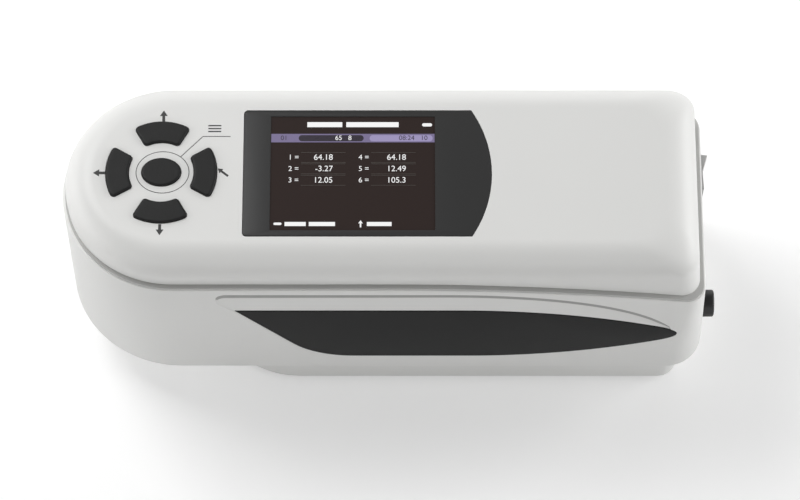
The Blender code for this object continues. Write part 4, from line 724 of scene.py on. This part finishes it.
def grip_top(x):
    """Height of the grip's upper edge: level, then falling on an arc."""
    run = max(x - GRIP_TOP_BEND_X, 0)
    return GRIP_TOP_Z - GRIP_TOP_RADIUS + math.sqrt(GRIP_TOP_RADIUS**2 - run**2)


def grip_bottom(x):
    """Height of the grip's lower edge: level, then rising on an arc."""
    run = max(x - GRIP_BOTTOM_BEND_X, 0)
    return GRIP_BOTTOM_Z + GRIP_BOTTOM_RADIUS - math.sqrt(GRIP_BOTTOM_RADIUS**2 - run**2)


def grip_lower_edge():
    """The grip's slanted heel and lower arc, from its left tip to its nose."""
    foot = [(GRIP_HEEL_X, GRIP_BOTTOM_Z), (GRIP_BOTTOM_BEND_X, GRIP_BOTTOM_Z)]
    heel = rounded([(GRIP_LEFT_X, GRIP_TOP_Z), *foot], [0, GRIP_HEEL_RADIUS, 0])
    run = GRIP_NOSE_X - GRIP_BOTTOM_BEND_X
    xs = [GRIP_BOTTOM_BEND_X + run * i / ARC_STEPS for i in range(1, ARC_STEPS + 1)]
    return heel + [(x, grip_bottom(x)) for x in xs]


def bend(start, pull, end):
    """A smooth bend from one point to another, both sides drawn towards a third."""
    points = []
    for i in range(1, CORNER_STEPS + 1):
        t = i / CORNER_STEPS
        weights = ((1 - t) ** 2, 2 * t * (1 - t), t * t)
        points.append(tuple(sum(w * p[k] for w, p in zip(weights, (start, pull, end))) for k in (0, 1)))
    return points


def grip_nose():
    """The grip's rounded tip, which leaves both arcs along their own slopes."""
    low, high = grip_bottom(GRIP_NOSE_X), grip_top(GRIP_NOSE_X)
    rise = (low - grip_bottom(GRIP_NOSE_X - FIT_GAP)) / FIT_GAP * GRIP_NOSE_REACH
    fall = (grip_top(GRIP_NOSE_X - FIT_GAP) - high) / FIT_GAP * GRIP_NOSE_REACH
    tip_x, middle = GRIP_NOSE_X + GRIP_NOSE_REACH, (low + high) / 2
    below = bend((GRIP_NOSE_X, low), (tip_x, low + rise), (tip_x, middle))
    return below + bend((tip_x, middle), (tip_x, high - fall), (GRIP_NOSE_X, high))[:-1]


def grip_outline():
    """The grip's outline on the housing's side, anticlockwise."""
    run = GRIP_NOSE_X - GRIP_TOP_BEND_X
    xs = [GRIP_NOSE_X - run * i / ARC_STEPS for i in range(ARC_STEPS + 1)]
    return grip_lower_edge() + grip_nose() + [(x, grip_top(x)) for x in xs]


def recess_outline():
    """The recess: the grip's lower edge below, the crease above."""
    ends = [
        Vector((RECESS_END_X, RECESS_END_Z)),
        Vector((RECESS_FALL_X, RECESS_FALL_Z)),
        Vector((RECESS_PULL_X, RECESS_TOP_Z)),
        Vector((RECESS_BEND_X, RECESS_TOP_Z)),
    ]
    crease = []
    for i in range(ARC_STEPS + 1):
        t = i / ARC_STEPS
        weights = ((1 - t) ** 3, 3 * t * (1 - t) ** 2, 3 * t * t * (1 - t), t**3)
        crease.append(tuple(sum((w * p for w, p in zip(weights, ends)), Vector((0, 0)))))
    shoulder = [
        (RECESS_BEND_X, RECESS_TOP_Z),
        (RECESS_LEFT_X, RECESS_TOP_Z),
        (RECESS_LEFT_X, RECESS_SHOULDER_Z),
        (GRIP_LEFT_X - FIT_GAP, GRIP_TOP_Z),
    ]
    corners = rounded(shoulder, [0, RECESS_CORNER, RECESS_CORNER, 0])
    below = grown(grip_outline(), FIT_GAP)[1 : len(grip_lower_edge()) + len(grip_nose())]
    below = [(x, z) for x, z in below if x < GRIP_NOSE_X or z < RECESS_END_Z - FIT_GAP]
    return below + crease + corners[1:]


def chain_height(chain, x):
    """Height of a chain of points at a place along X."""
    for (x0, z0), (x1, z1) in zip(chain, chain[1:]):
        if min(x0, x1) <= x <= max(x0, x1) and x0 != x1:
            return z0 + (z1 - z0) * (x - x0) / (x1 - x0)
    return chain[-1][1]


def recess_stations():
    """Places along the recess with its upper and lower edges there, from the left tip to the right."""
    outline = recess_outline()
    tip = min(range(len(outline)), key=lambda i: outline[i][0])
    top = max(range(len(outline)), key=lambda i: outline[i][0])
    around = outline[top:] + outline[:top]
    turn = (tip - top) % len(outline)
    upper, lower = around[: turn + 1], around[turn:] + around[:1]
    left, right = outline[tip][0], RECESS_END_X
    stations = []
    for i in range(1, RECESS_STEPS):
        x = left + (right - left) * (1 - math.cos(math.pi * i / RECESS_STEPS)) / 2
        low = chain_height(lower, x) if x < GRIP_LEFT_X else grip_top(x) + HAIR_GAP
        if x > GRIP_NOSE_X:
            low = min(chain_height(upper, x) - FIT_GAP, low)
        stations.append((x, chain_height(upper, x), low))
    return stations


def recess_ramp(side):
    """Cutter of the recess: deepest under its upper edge, rising to the face where the grip begins."""
    rings = []
    for x, high, low in recess_stations():
        low = min(low, high - FIT_GAP)
        section = [(low - FIT_GAP, -OVERRUN), (low - FIT_GAP, RAMP_FOOT), (high, RECESS_DEPTH)]
        for sine, cosine in quarter(EDGE_STEPS):
            section.append((high + RECESS_FILLET * (1 - cosine), RECESS_FILLET * (1 - sine)))
        section.append((high + RECESS_FILLET, -OVERRUN))
        rings.append([(x, side * (side_y(x, z) - depth), z) for z, depth in section])
    return skin(rings)


def shade_strip_height(x):
    """Height of the painted shade strip under the crease, least at the recess's right end."""
    if x < SHADE_STRIP_BEND_X:
        share = (x - RECESS_LEFT_X) / (SHADE_STRIP_BEND_X - RECESS_LEFT_X)
        return SHADE_STRIP_HEIGHT + (SHADE_STRIP_WAIST - SHADE_STRIP_HEIGHT) * share
    share = (x - SHADE_STRIP_BEND_X) / (RECESS_END_X - SHADE_STRIP_BEND_X)
    return SHADE_STRIP_WAIST + (SHADE_STRIP_TIP - SHADE_STRIP_WAIST) * share


def make_crease_shade_strips():
    """A dark grey strip tucked under the recess's upper edge: painted shade that draws the crease's dark
    line.
    """
    for ending, side in (("front", -1), ("rear", 1)):
        rings = []
        for x, high, low in recess_stations():
            height = min(shade_strip_height(x), (high - low) * SHADE_STRIP_SHARE)
            if height <= HAIR_GAP:
                continue
            foot, back = high - height, RECESS_DEPTH - HAIR_GAP
            section = [(high, back), (foot, back), (foot, 2 * SHADE_STRIP_DEPTH)]
            section += [(foot + height / 4, SHADE_STRIP_DEPTH), (high, SHADE_STRIP_DEPTH)]
            rings.append([(x, side * (side_y(x, z) - depth), z) for z, depth in section])
        bm = skin(rings)
        piece(f"recess_bead_{ending}", bm, CREASE_SHADE_FINISH)


def make_housing():
    """The lower shell, with its recesses, grip pockets and the panel's opening."""
    rings = []
    for sine, cosine in quarter(EDGE_STEPS):
        inset, height = HOUSING_EDGE * (1 - sine), HOUSING_BOTTOM + HOUSING_EDGE * (1 - cosine)
        rings.append(flat_ring(housing_outline(inset, 0), height))
    for sine, cosine in quarter(EDGE_STEPS):
        inset, rise = SEAM_FILLET * (1 - cosine), SEAM_FILLET * (sine - 1)
        rings.append(seam_ring(housing_outline(inset, 1), rise))
    rings.append(seam_ring(housing_outline(HOUSING_WALL, 1), 0))
    rings.append(flat_ring(housing_outline(HOUSING_WALL, 0), FLOOR_Z))
    cutters = [recess_ramp(-1), recess_ramp(1)]
    pocket = grown(grip_outline(), HAIR_GAP)
    for side in (-1, 1):
        cutters.append(skin([side_ring(pocket, side, RECESS_DEPTH), side_ring(pocket, side, -OVERRUN)]))
    low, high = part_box("interface_panel")
    inner = HOUSING_WALL + OVERRUN
    opening = []
    for depth in (inner, -OVERRUN):
        corners = [(low.y, low.z), (high.y, low.z), (high.y, high.z), (low.y, high.z)]
        opening.append([(end_x(z) - depth, y, z) for y, z in panel_corners(corners)])
    cutters.append(skin(opening))
    mesh = carved(skin(rings), cutters)
    placed("housing_shell", mesh, SLOT_FINISH["white_abs"], replaces=["lower_housing"])


def panel_corners(corners):
    """Corners of the panel's face, from those of its flange behind the wall."""
    middle = Vector((0, sum(z for _, z in corners) / len(corners)))
    result = []
    for y, z in corners:
        shift_y = math.copysign(PANEL_FLANGE, y)
        shift_z = math.copysign(PANEL_FLANGE, z - middle.y)
        result.append((y - shift_y, z - shift_z))
    return result


def gasket_ring(inset, rise):
    """The gasket lies further in at the two ends, where the lip's top face shows beyond it."""
    half_width = LIP_HALF_WIDTH - inset
    reach = half_width + NOSE_STRETCH - GASKET_NOSE_INSET
    right_x = LIP_RIGHT_X - inset - GASKET_RIGHT_INSET
    return seam_ring(body_outline(half_width, reach, right_x, LIP_CORNER - inset), rise)


def make_gasket():
    """The strip in the groove between the two shells."""
    outer, inner = GASKET_INSET, GASKET_INSET + GASKET_WIDTH - GASKET_NOSE_INSET
    low, high = HAIR_GAP, SEAM_GROOVE - HAIR_GAP
    ends = [(inner, low), (outer, low), (outer, high), (inner, high), (inner, low)]
    bm = skin([gasket_ring(*end) for end in ends], False, False)
    bmesh.ops.remove_doubles(bm, verts=bm.verts, dist=WELD)
    bmesh.ops.recalc_face_normals(bm, faces=bm.faces)
    piece("gasket_strip", bm, SLOT_FINISH["grey_silicone"], replaces=["seam_gasket"])


def make_grips():
    """The two pads, just proud of the side, with a rounded edge."""
    outline = grip_outline()
    for ending, side in (("front", -1), ("rear", 1)):
        rings = [side_ring(outline, side, RECESS_DEPTH - HAIR_GAP)]
        for sine, cosine in quarter(EDGE_STEPS):
            inset = GRIP_EDGE * (1 - cosine)
            depth = GRIP_EDGE * (1 - sine) - GRIP_PROUD
            rings.append(side_ring(grown(outline, -inset), side, depth))
        finish = SLOT_FINISH["black_rubber"]
        piece(f"grip_pad_{ending}", skin(rings), finish, replaces=[f"grip_{ending}"])


def make_keys():
    """The five caps, each with the flange that keeps it under the cover."""
    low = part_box("key_up")[0].z
    flange_top = low + KEY_FLANGE_DEPTH
    for name, shape in key_shapes().items():
        rings = [
            flat_ring(shape(KEY_FLANGE), low),
            flat_ring(shape(KEY_FLANGE), flange_top),
            flat_ring(shape(0), flange_top),
        ]
        for sine, cosine in quarter(EDGE_STEPS):
            inset, drop = KEY_EDGE * (1 - cosine), KEY_EDGE * (1 - sine)
            rings.append(flat_ring(shape(-inset), HEIGHT + KEY_TOP - drop))
        rings.append(flat_ring(shape(-2 * KEY_EDGE), HEIGHT + KEY_TOP))
        piece(name + "_cap", skin(rings), SLOT_FINISH["key_abs"], name, [name])


def make_window():
    """The pane with its opening, and the display's glass in it."""
    outline = window_outline(WINDOW_GAP)
    pane = slab(outline, HEIGHT - WINDOW_THICKNESS, HEIGHT, WINDOW_GAP)
    view = rectangle(SCREEN_X, 0, SCREEN_LENGTH, SCREEN_WIDTH)
    hole = slab(view, HEIGHT - WINDOW_THICKNESS - OVERRUN, HEIGHT + OVERRUN)
    mesh = carved(pane, [hole])
    finish = SLOT_FINISH["window_acrylic"]
    placed("window_pane", mesh, finish, replaces=["display_window"])
    top = HEIGHT - SCREEN_SINK
    outline = rectangle(SCREEN_X, 0, SCREEN_LENGTH - INK, SCREEN_WIDTH - INK)
    glass = slab(outline, top - SCREEN_THICKNESS, top)
    piece("screen_glass", glass, SLOT_FINISH["display_glass"])


def make_button():
    """The button's cap, turned about its own axis and laid into the square end."""
    back, face = (corner.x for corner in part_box("measure_button"))
    foot, flange = back - face, MEASURE_RADIUS + MEASURE_FLANGE
    shoulder = foot + MEASURE_FLANGE_DEPTH
    profile = [(0, foot), (flange, foot), (flange, shoulder), (MEASURE_RADIUS, shoulder)]
    for sine, cosine in quarter(EDGE_STEPS + 2):
        profile.append((MEASURE_RADIUS - MEASURE_EDGE * (1 - cosine), -MEASURE_EDGE * (1 - sine)))
    profile.append((0, 0))
    bm = turned(profile)
    place = Matrix.Translation((face, MEASURE_Y, MEASURE_Z)) @ Matrix.Rotation(math.pi / 2, 4, "Y")
    bmesh.ops.transform(bm, matrix=place, verts=bm.verts)
    piece("button_cap", bm, SLOT_FINISH["black_abs"], "measure_button", ["measure_button"])


def clean_copy(node):
    """A CAD node's mesh with its doubles merged and its flat faces joined."""
    bm = bmesh.new()
    bm.from_mesh(frame["nodes"][node].data)
    bmesh.ops.remove_doubles(bm, verts=bm.verts, dist=WELD)
    bmesh.ops.dissolve_limit(bm, angle_limit=FLAT_ANGLE, verts=bm.verts, edges=bm.edges)
    return bm


def refined(node, name):
    """A smooth-shaded copy of a CAD node whose shape is right."""
    row = next(r for r in frame["record"]["subparts"] if r["node"] == node)
    body = next(b for b, nodes in frame["record"]["behaviour"]["bodies"].items() if node in nodes)
    slot = row["material_slot"]
    return piece(name, clean_copy(node), SLOT_FINISH[slot], body, [node])


def make_refined():
    """Copies of the nodes that need only smooth shading, and the trimmed rocker frame."""
    names = {
        "base_housing": "base_block",
        "battery_door": "battery_hatch",
        "interface_panel": "port_panel",
        "power_rocker": "rocker_cap",
        "usb_socket": "data_socket",
        "charging_jack": "charging_socket",
        "aperture_plate": "aperture_ring",
    }
    for node, name in names.items():
        refined(node, name)
    for i in range(1, 5):
        refined(f"rubber_foot_{i}", f"foot_pad_{i}")
    low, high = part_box("power_switch")
    over = Vector((OVERRUN, OVERRUN, OVERRUN))
    cutter = box(Vector((ROCKER_FRAME_X, *(low - over).yz)), high + over)
    mesh = carved(clean_copy("power_switch"), [cutter])
    placed("rocker_frame", mesh, SLOT_FINISH["black_abs"], replaces=["power_switch"])


# Printed marks on the cover

def print_shape(name, outlines):
    """One printed mark from flat outlines, as a thin film on the cover's top."""
    bm = bmesh.new()
    for outline in outlines:
        part = slab(outline, HEIGHT - INK, HEIGHT + INK)
        mesh = bpy.data.meshes.new("mark")
        part.to_mesh(mesh)
        part.free()
        bm.from_mesh(mesh)
        bpy.data.meshes.remove(mesh)
    piece(name, bm, INK_FINISH)


def arrow(tail, tip, scale=1):
    """Outline of an arrow between two points, anticlockwise."""
    tail, tip = Vector(tail), Vector(tip)
    along = (tip - tail).normalized()
    across = Vector((-along.y, along.x))
    neck = tip - along * ARROW_HEAD_LENGTH * scale
    stem, head = across * ARROW_STEM * scale / 2, across * ARROW_HEAD * scale / 2
    outline = (tail - stem, neck - stem, neck - head, tip, neck + head, neck + stem, tail + stem)
    return [tuple(point) for point in outline]


def stroke(start, end, width=LINE_WIDTH):
    """Outline of a straight line of ink."""
    start, end = Vector(start), Vector(end)
    across = Vector((start.y - end.y, end.x - start.x)).normalized() * width / 2
    return [tuple(point) for point in (start - across, end - across, end + across, start + across)]


def make_marks():
    """Arrows round the keys, a ring about the middle one, and a leader to the menu's bars."""
    outer = KEY_OUTER_RADIUS + KEY_GAP
    print_shape("mark_up", [arrow((ARROW_UP_X, outer), (ARROW_UP_X, ARROW_UP_TIP))])
    print_shape("mark_down", [arrow((KEYPAD_X, -outer), (KEYPAD_X, -ARROW_DOWN_TIP))])
    print_shape("mark_left", [arrow((KEYPAD_X - outer, 0), (ARROW_LEFT_TIP_X, 0))])
    print_shape("mark_back", [arrow(BACK_TAIL, BACK_TIP, BACK_SCALE)])
    around = ellipse(RING_HALF_LENGTH, RING_HALF_WIDTH, RING_STEPS)
    around = [(RING_X + x, KEYPAD_Y + y) for x, y in around]
    print_shape("mark_ring", [stroke(*ends) for ends in zip(around, around[1:] + around[:1])])
    print_shape("mark_leader", [stroke(*ends) for ends in zip(LEADER, LEADER[1:])])
    heights = [MENU_Y + i * MENU_PITCH for i in range(3)]
    bars = [stroke((MENU_LEFT_X, y), (MENU_RIGHT_X, y), MENU_BAR) for y in heights]
    print_shape("mark_menu", bars)


# The display's picture

def on_screen(px, py):
    """Point on the display at a pixel of the photograph."""
    u = (px - (VIEW_LEFT + VIEW_RIGHT) / 2) / (VIEW_RIGHT - VIEW_LEFT)
    v = ((VIEW_TOP + VIEW_BOTTOM) / 2 - py) / (VIEW_BOTTOM - VIEW_TOP)
    return SCREEN_X + u * SCREEN_LENGTH, v * SCREEN_WIDTH


def lit_plate(name, corners, finish, level=1, ends=0):
    """A flat part of the picture between two pixel corners, rounded by a share of its height."""
    (x0, y0), (x1, y1) = (on_screen(*corner) for corner in corners)
    base = HEIGHT - SCREEN_SINK
    outline = [(x0, y1), (x1, y1), (x1, y0), (x0, y0)]
    if ends:
        outline = rounded(outline, [(y0 - y1) * ends] * 4)
    piece(name, slab(outline, base + (level - 1) * INK, base + level * INK), finish)


def lit_pill(name, corners, finish, level=2):
    """A part of the picture with round ends."""
    lit_plate(name, corners, finish, level, PILL_ROUND)


def lit_number(name, text, right, finish, size=VALUE_SIZE, level=2):
    """Plain figures that end at a pixel."""
    curve = bpy.data.curves.new(name, "FONT")
    curve.body = text
    curve.size = size
    curve.align_x = "RIGHT"
    curve.align_y = "CENTER"
    curve.extrude = INK / 2
    source = bpy.data.objects.new(name + "_text", curve)
    bpy.context.scene.collection.objects.link(source)
    graph = bpy.context.evaluated_depsgraph_get()
    mesh = bpy.data.meshes.new_from_object(source.evaluated_get(graph))
    bpy.data.objects.remove(source)
    x, y = on_screen(*right)
    place = Matrix.Translation((x, y, HEIGHT - SCREEN_SINK + (level - 0.5) * INK))
    bm = bmesh.new()
    bm.from_mesh(mesh)
    bpy.data.meshes.remove(mesh)
    bmesh.ops.remove_doubles(bm, verts=bm.verts, dist=WELD)
    bmesh.ops.transform(bm, matrix=place, verts=bm.verts)
    bmesh.ops.recalc_face_normals(bm, faces=bm.faces)
    piece(name, bm, finish)


def make_picture():
    """Title and foot bars, a band with two pills, and two columns of numbered values."""
    white = lit("display_white", "#F4F4F4")
    band = lit("display_band", "#766C8F")
    dark = lit("display_pill_dark", "#2A2330")
    pale = lit("display_pill_pale", "#9A90B8")
    frame_line = lit("display_frame", "#45403C")
    lit_plate("screen_title_1", ((307.5, 121.5), (342.5, 126.5)), white)
    lit_plate("screen_title_2", ((346.5, 121.5), (399, 126.5)), white)
    lit_pill("screen_battery", ((422.5, 122.6), (432.5, 125.8)), white, 1)
    lit_plate("screen_band", ((271.6, 133.3), (434.9, 141.8)), band)
    lit_pill("screen_pill_left", ((299, 134.6), (364, 140.8)), dark)
    lit_pill("screen_pill_right", ((370, 134.6), (433, 140.8)), pale)
    lit_number("screen_band_number", "01", (288, 137.6), dark, BAND_SIZE)
    lit_number("screen_pill_number", "65   8", (352, 137.6), white, BAND_SIZE, 3)
    lit_number("screen_clock", "08:24   10", (428, 137.6), dark, BAND_SIZE, 3)
    for c, (label, box_left, box_right, value, figures) in enumerate(COLUMNS):
        for r, figure in enumerate(figures):
            y = FIRST_ROW + ROW_PITCH * r
            name = f"{c + 1}_{r + 1}"
            lit_number("screen_label_" + name, f"{3 * c + r + 1} =", (label, y), white, LABEL_SIZE)
            for end, middle in (("top", y - ROW_HALF_HEIGHT), ("bottom", y + ROW_HALF_HEIGHT)):
                corners = ((box_left, middle - ROW_LINE), (box_right, middle + ROW_LINE))
                lit_plate(f"screen_box_{name}_{end}", corners, frame_line)
            lit_number("screen_value_" + name, figure, (value, y), white)
    lit_pill("screen_enter", ((275, 221.8), (283, 224.2)), white, 1)
    lit_plate("screen_foot_1", ((286, 221.2), (307, 225.2)), white)
    lit_plate("screen_foot_2", ((310, 221.2), (336, 225.2)), white)
    lit_plate("screen_arrow_stem", ((360.5, 221.5), (362, 226.5)), white)
    lit_plate("screen_foot_3", ((367.5, 221.2), (392, 225.2)), white)
    tip = [on_screen(*p) for p in ((359, 222.5), (363.5, 222.5), (361.25, 219.5))]
    base = HEIGHT - SCREEN_SINK
    piece("screen_arrow_head", slab(tip, base, base + INK), white)


# Stage, camera and light

def area_light(name, place, target, size, power):
    """A soft box that faces a point."""
    lamp = bpy.data.lights.new(name, "AREA")
    lamp.shape = "RECTANGLE"
    lamp.size, lamp.size_y = size
    lamp.energy = power
    obj = bpy.data.objects.new(name, lamp)
    obj.location = place
    obj.rotation_euler = (Vector(target) - Vector(place)).to_track_quat("-Z", "Y").to_euler()
    bpy.context.scene.collection.objects.link(obj)


def make_stage():
    """A pale floor that the camera sees a little brighter, a dim sky and five soft boxes."""
    material = bpy.data.materials.new("studio_floor_paper")
    material.use_nodes = True
    tree = material.node_tree
    shader = tree.nodes["Principled BSDF"]
    shader.inputs["Base Color"].default_value = linear("#F2F2F2")
    shader.inputs["Roughness"].default_value = 0.9
    shader.inputs["Specular IOR Level"].default_value = 0.0
    path = add(material, "LightPath")
    seen = add(material, "Math", {0: path.outputs["Is Camera Ray"], 1: FLOOR_GLOW}, operation="MULTIPLY")
    glow = add(material, "Emission", {"Color": (1, 1, 1, 1), "Strength": seen.outputs[0]})
    both = add(material, "AddShader", {0: shader.outputs[0], 1: glow.outputs[0]})
    tree.links.new(both.outputs[0], tree.nodes["Material Output"].inputs["Surface"])
    bm = bmesh.new()
    bmesh.ops.create_grid(bm, x_segments=1, y_segments=1, size=FLOOR_SIZE)
    mesh = bpy.data.meshes.new("studio_floor")
    bm.to_mesh(mesh)
    bm.free()
    mesh.materials.append(material)
    floor = bpy.data.objects.new("studio_floor", mesh)
    bpy.context.scene.collection.objects.link(floor)
    world = bpy.data.worlds.new("studio")
    world.use_nodes = True
    sky = world.node_tree.nodes["Background"]
    sky.inputs["Color"].default_value = (1, 1, 1, 1)
    sky.inputs["Strength"].default_value = SKY_LEVEL
    bpy.context.scene.world = world
    for name, (place, size, power) in LAMPS.items():
        area_light(name, place, LAMP_TARGET, size, power)


def make_camera():
    """Straight in front, looking down at 66.5 degrees, as in the photograph."""
    lens = bpy.data.cameras.new("camera")
    lens.sensor_width = SENSOR
    lens.lens = LENS
    camera = bpy.data.objects.new("camera", lens)
    camera.location = CAMERA_PLACE
    sight = Vector(CAMERA_TARGET) - Vector(CAMERA_PLACE)
    camera.rotation_euler = sight.to_track_quat("-Z", "Y").to_euler()
    bpy.context.scene.collection.objects.link(camera)
    bpy.context.scene.camera = camera


for name in ("Cube", "Light", "Camera"):
    if name in bpy.data.objects:
        bpy.data.objects.remove(bpy.data.objects[name])
bpy.context.scene.view_settings.view_transform = "Standard"
finish_nodes()
make_cover()
make_housing()
make_gasket()
# Painted shade strips under the recess's crease
make_crease_shade_strips()
make_grips()
make_keys()
make_window()
make_button()
make_refined()
make_marks()
make_picture()
make_stage()
make_camera()
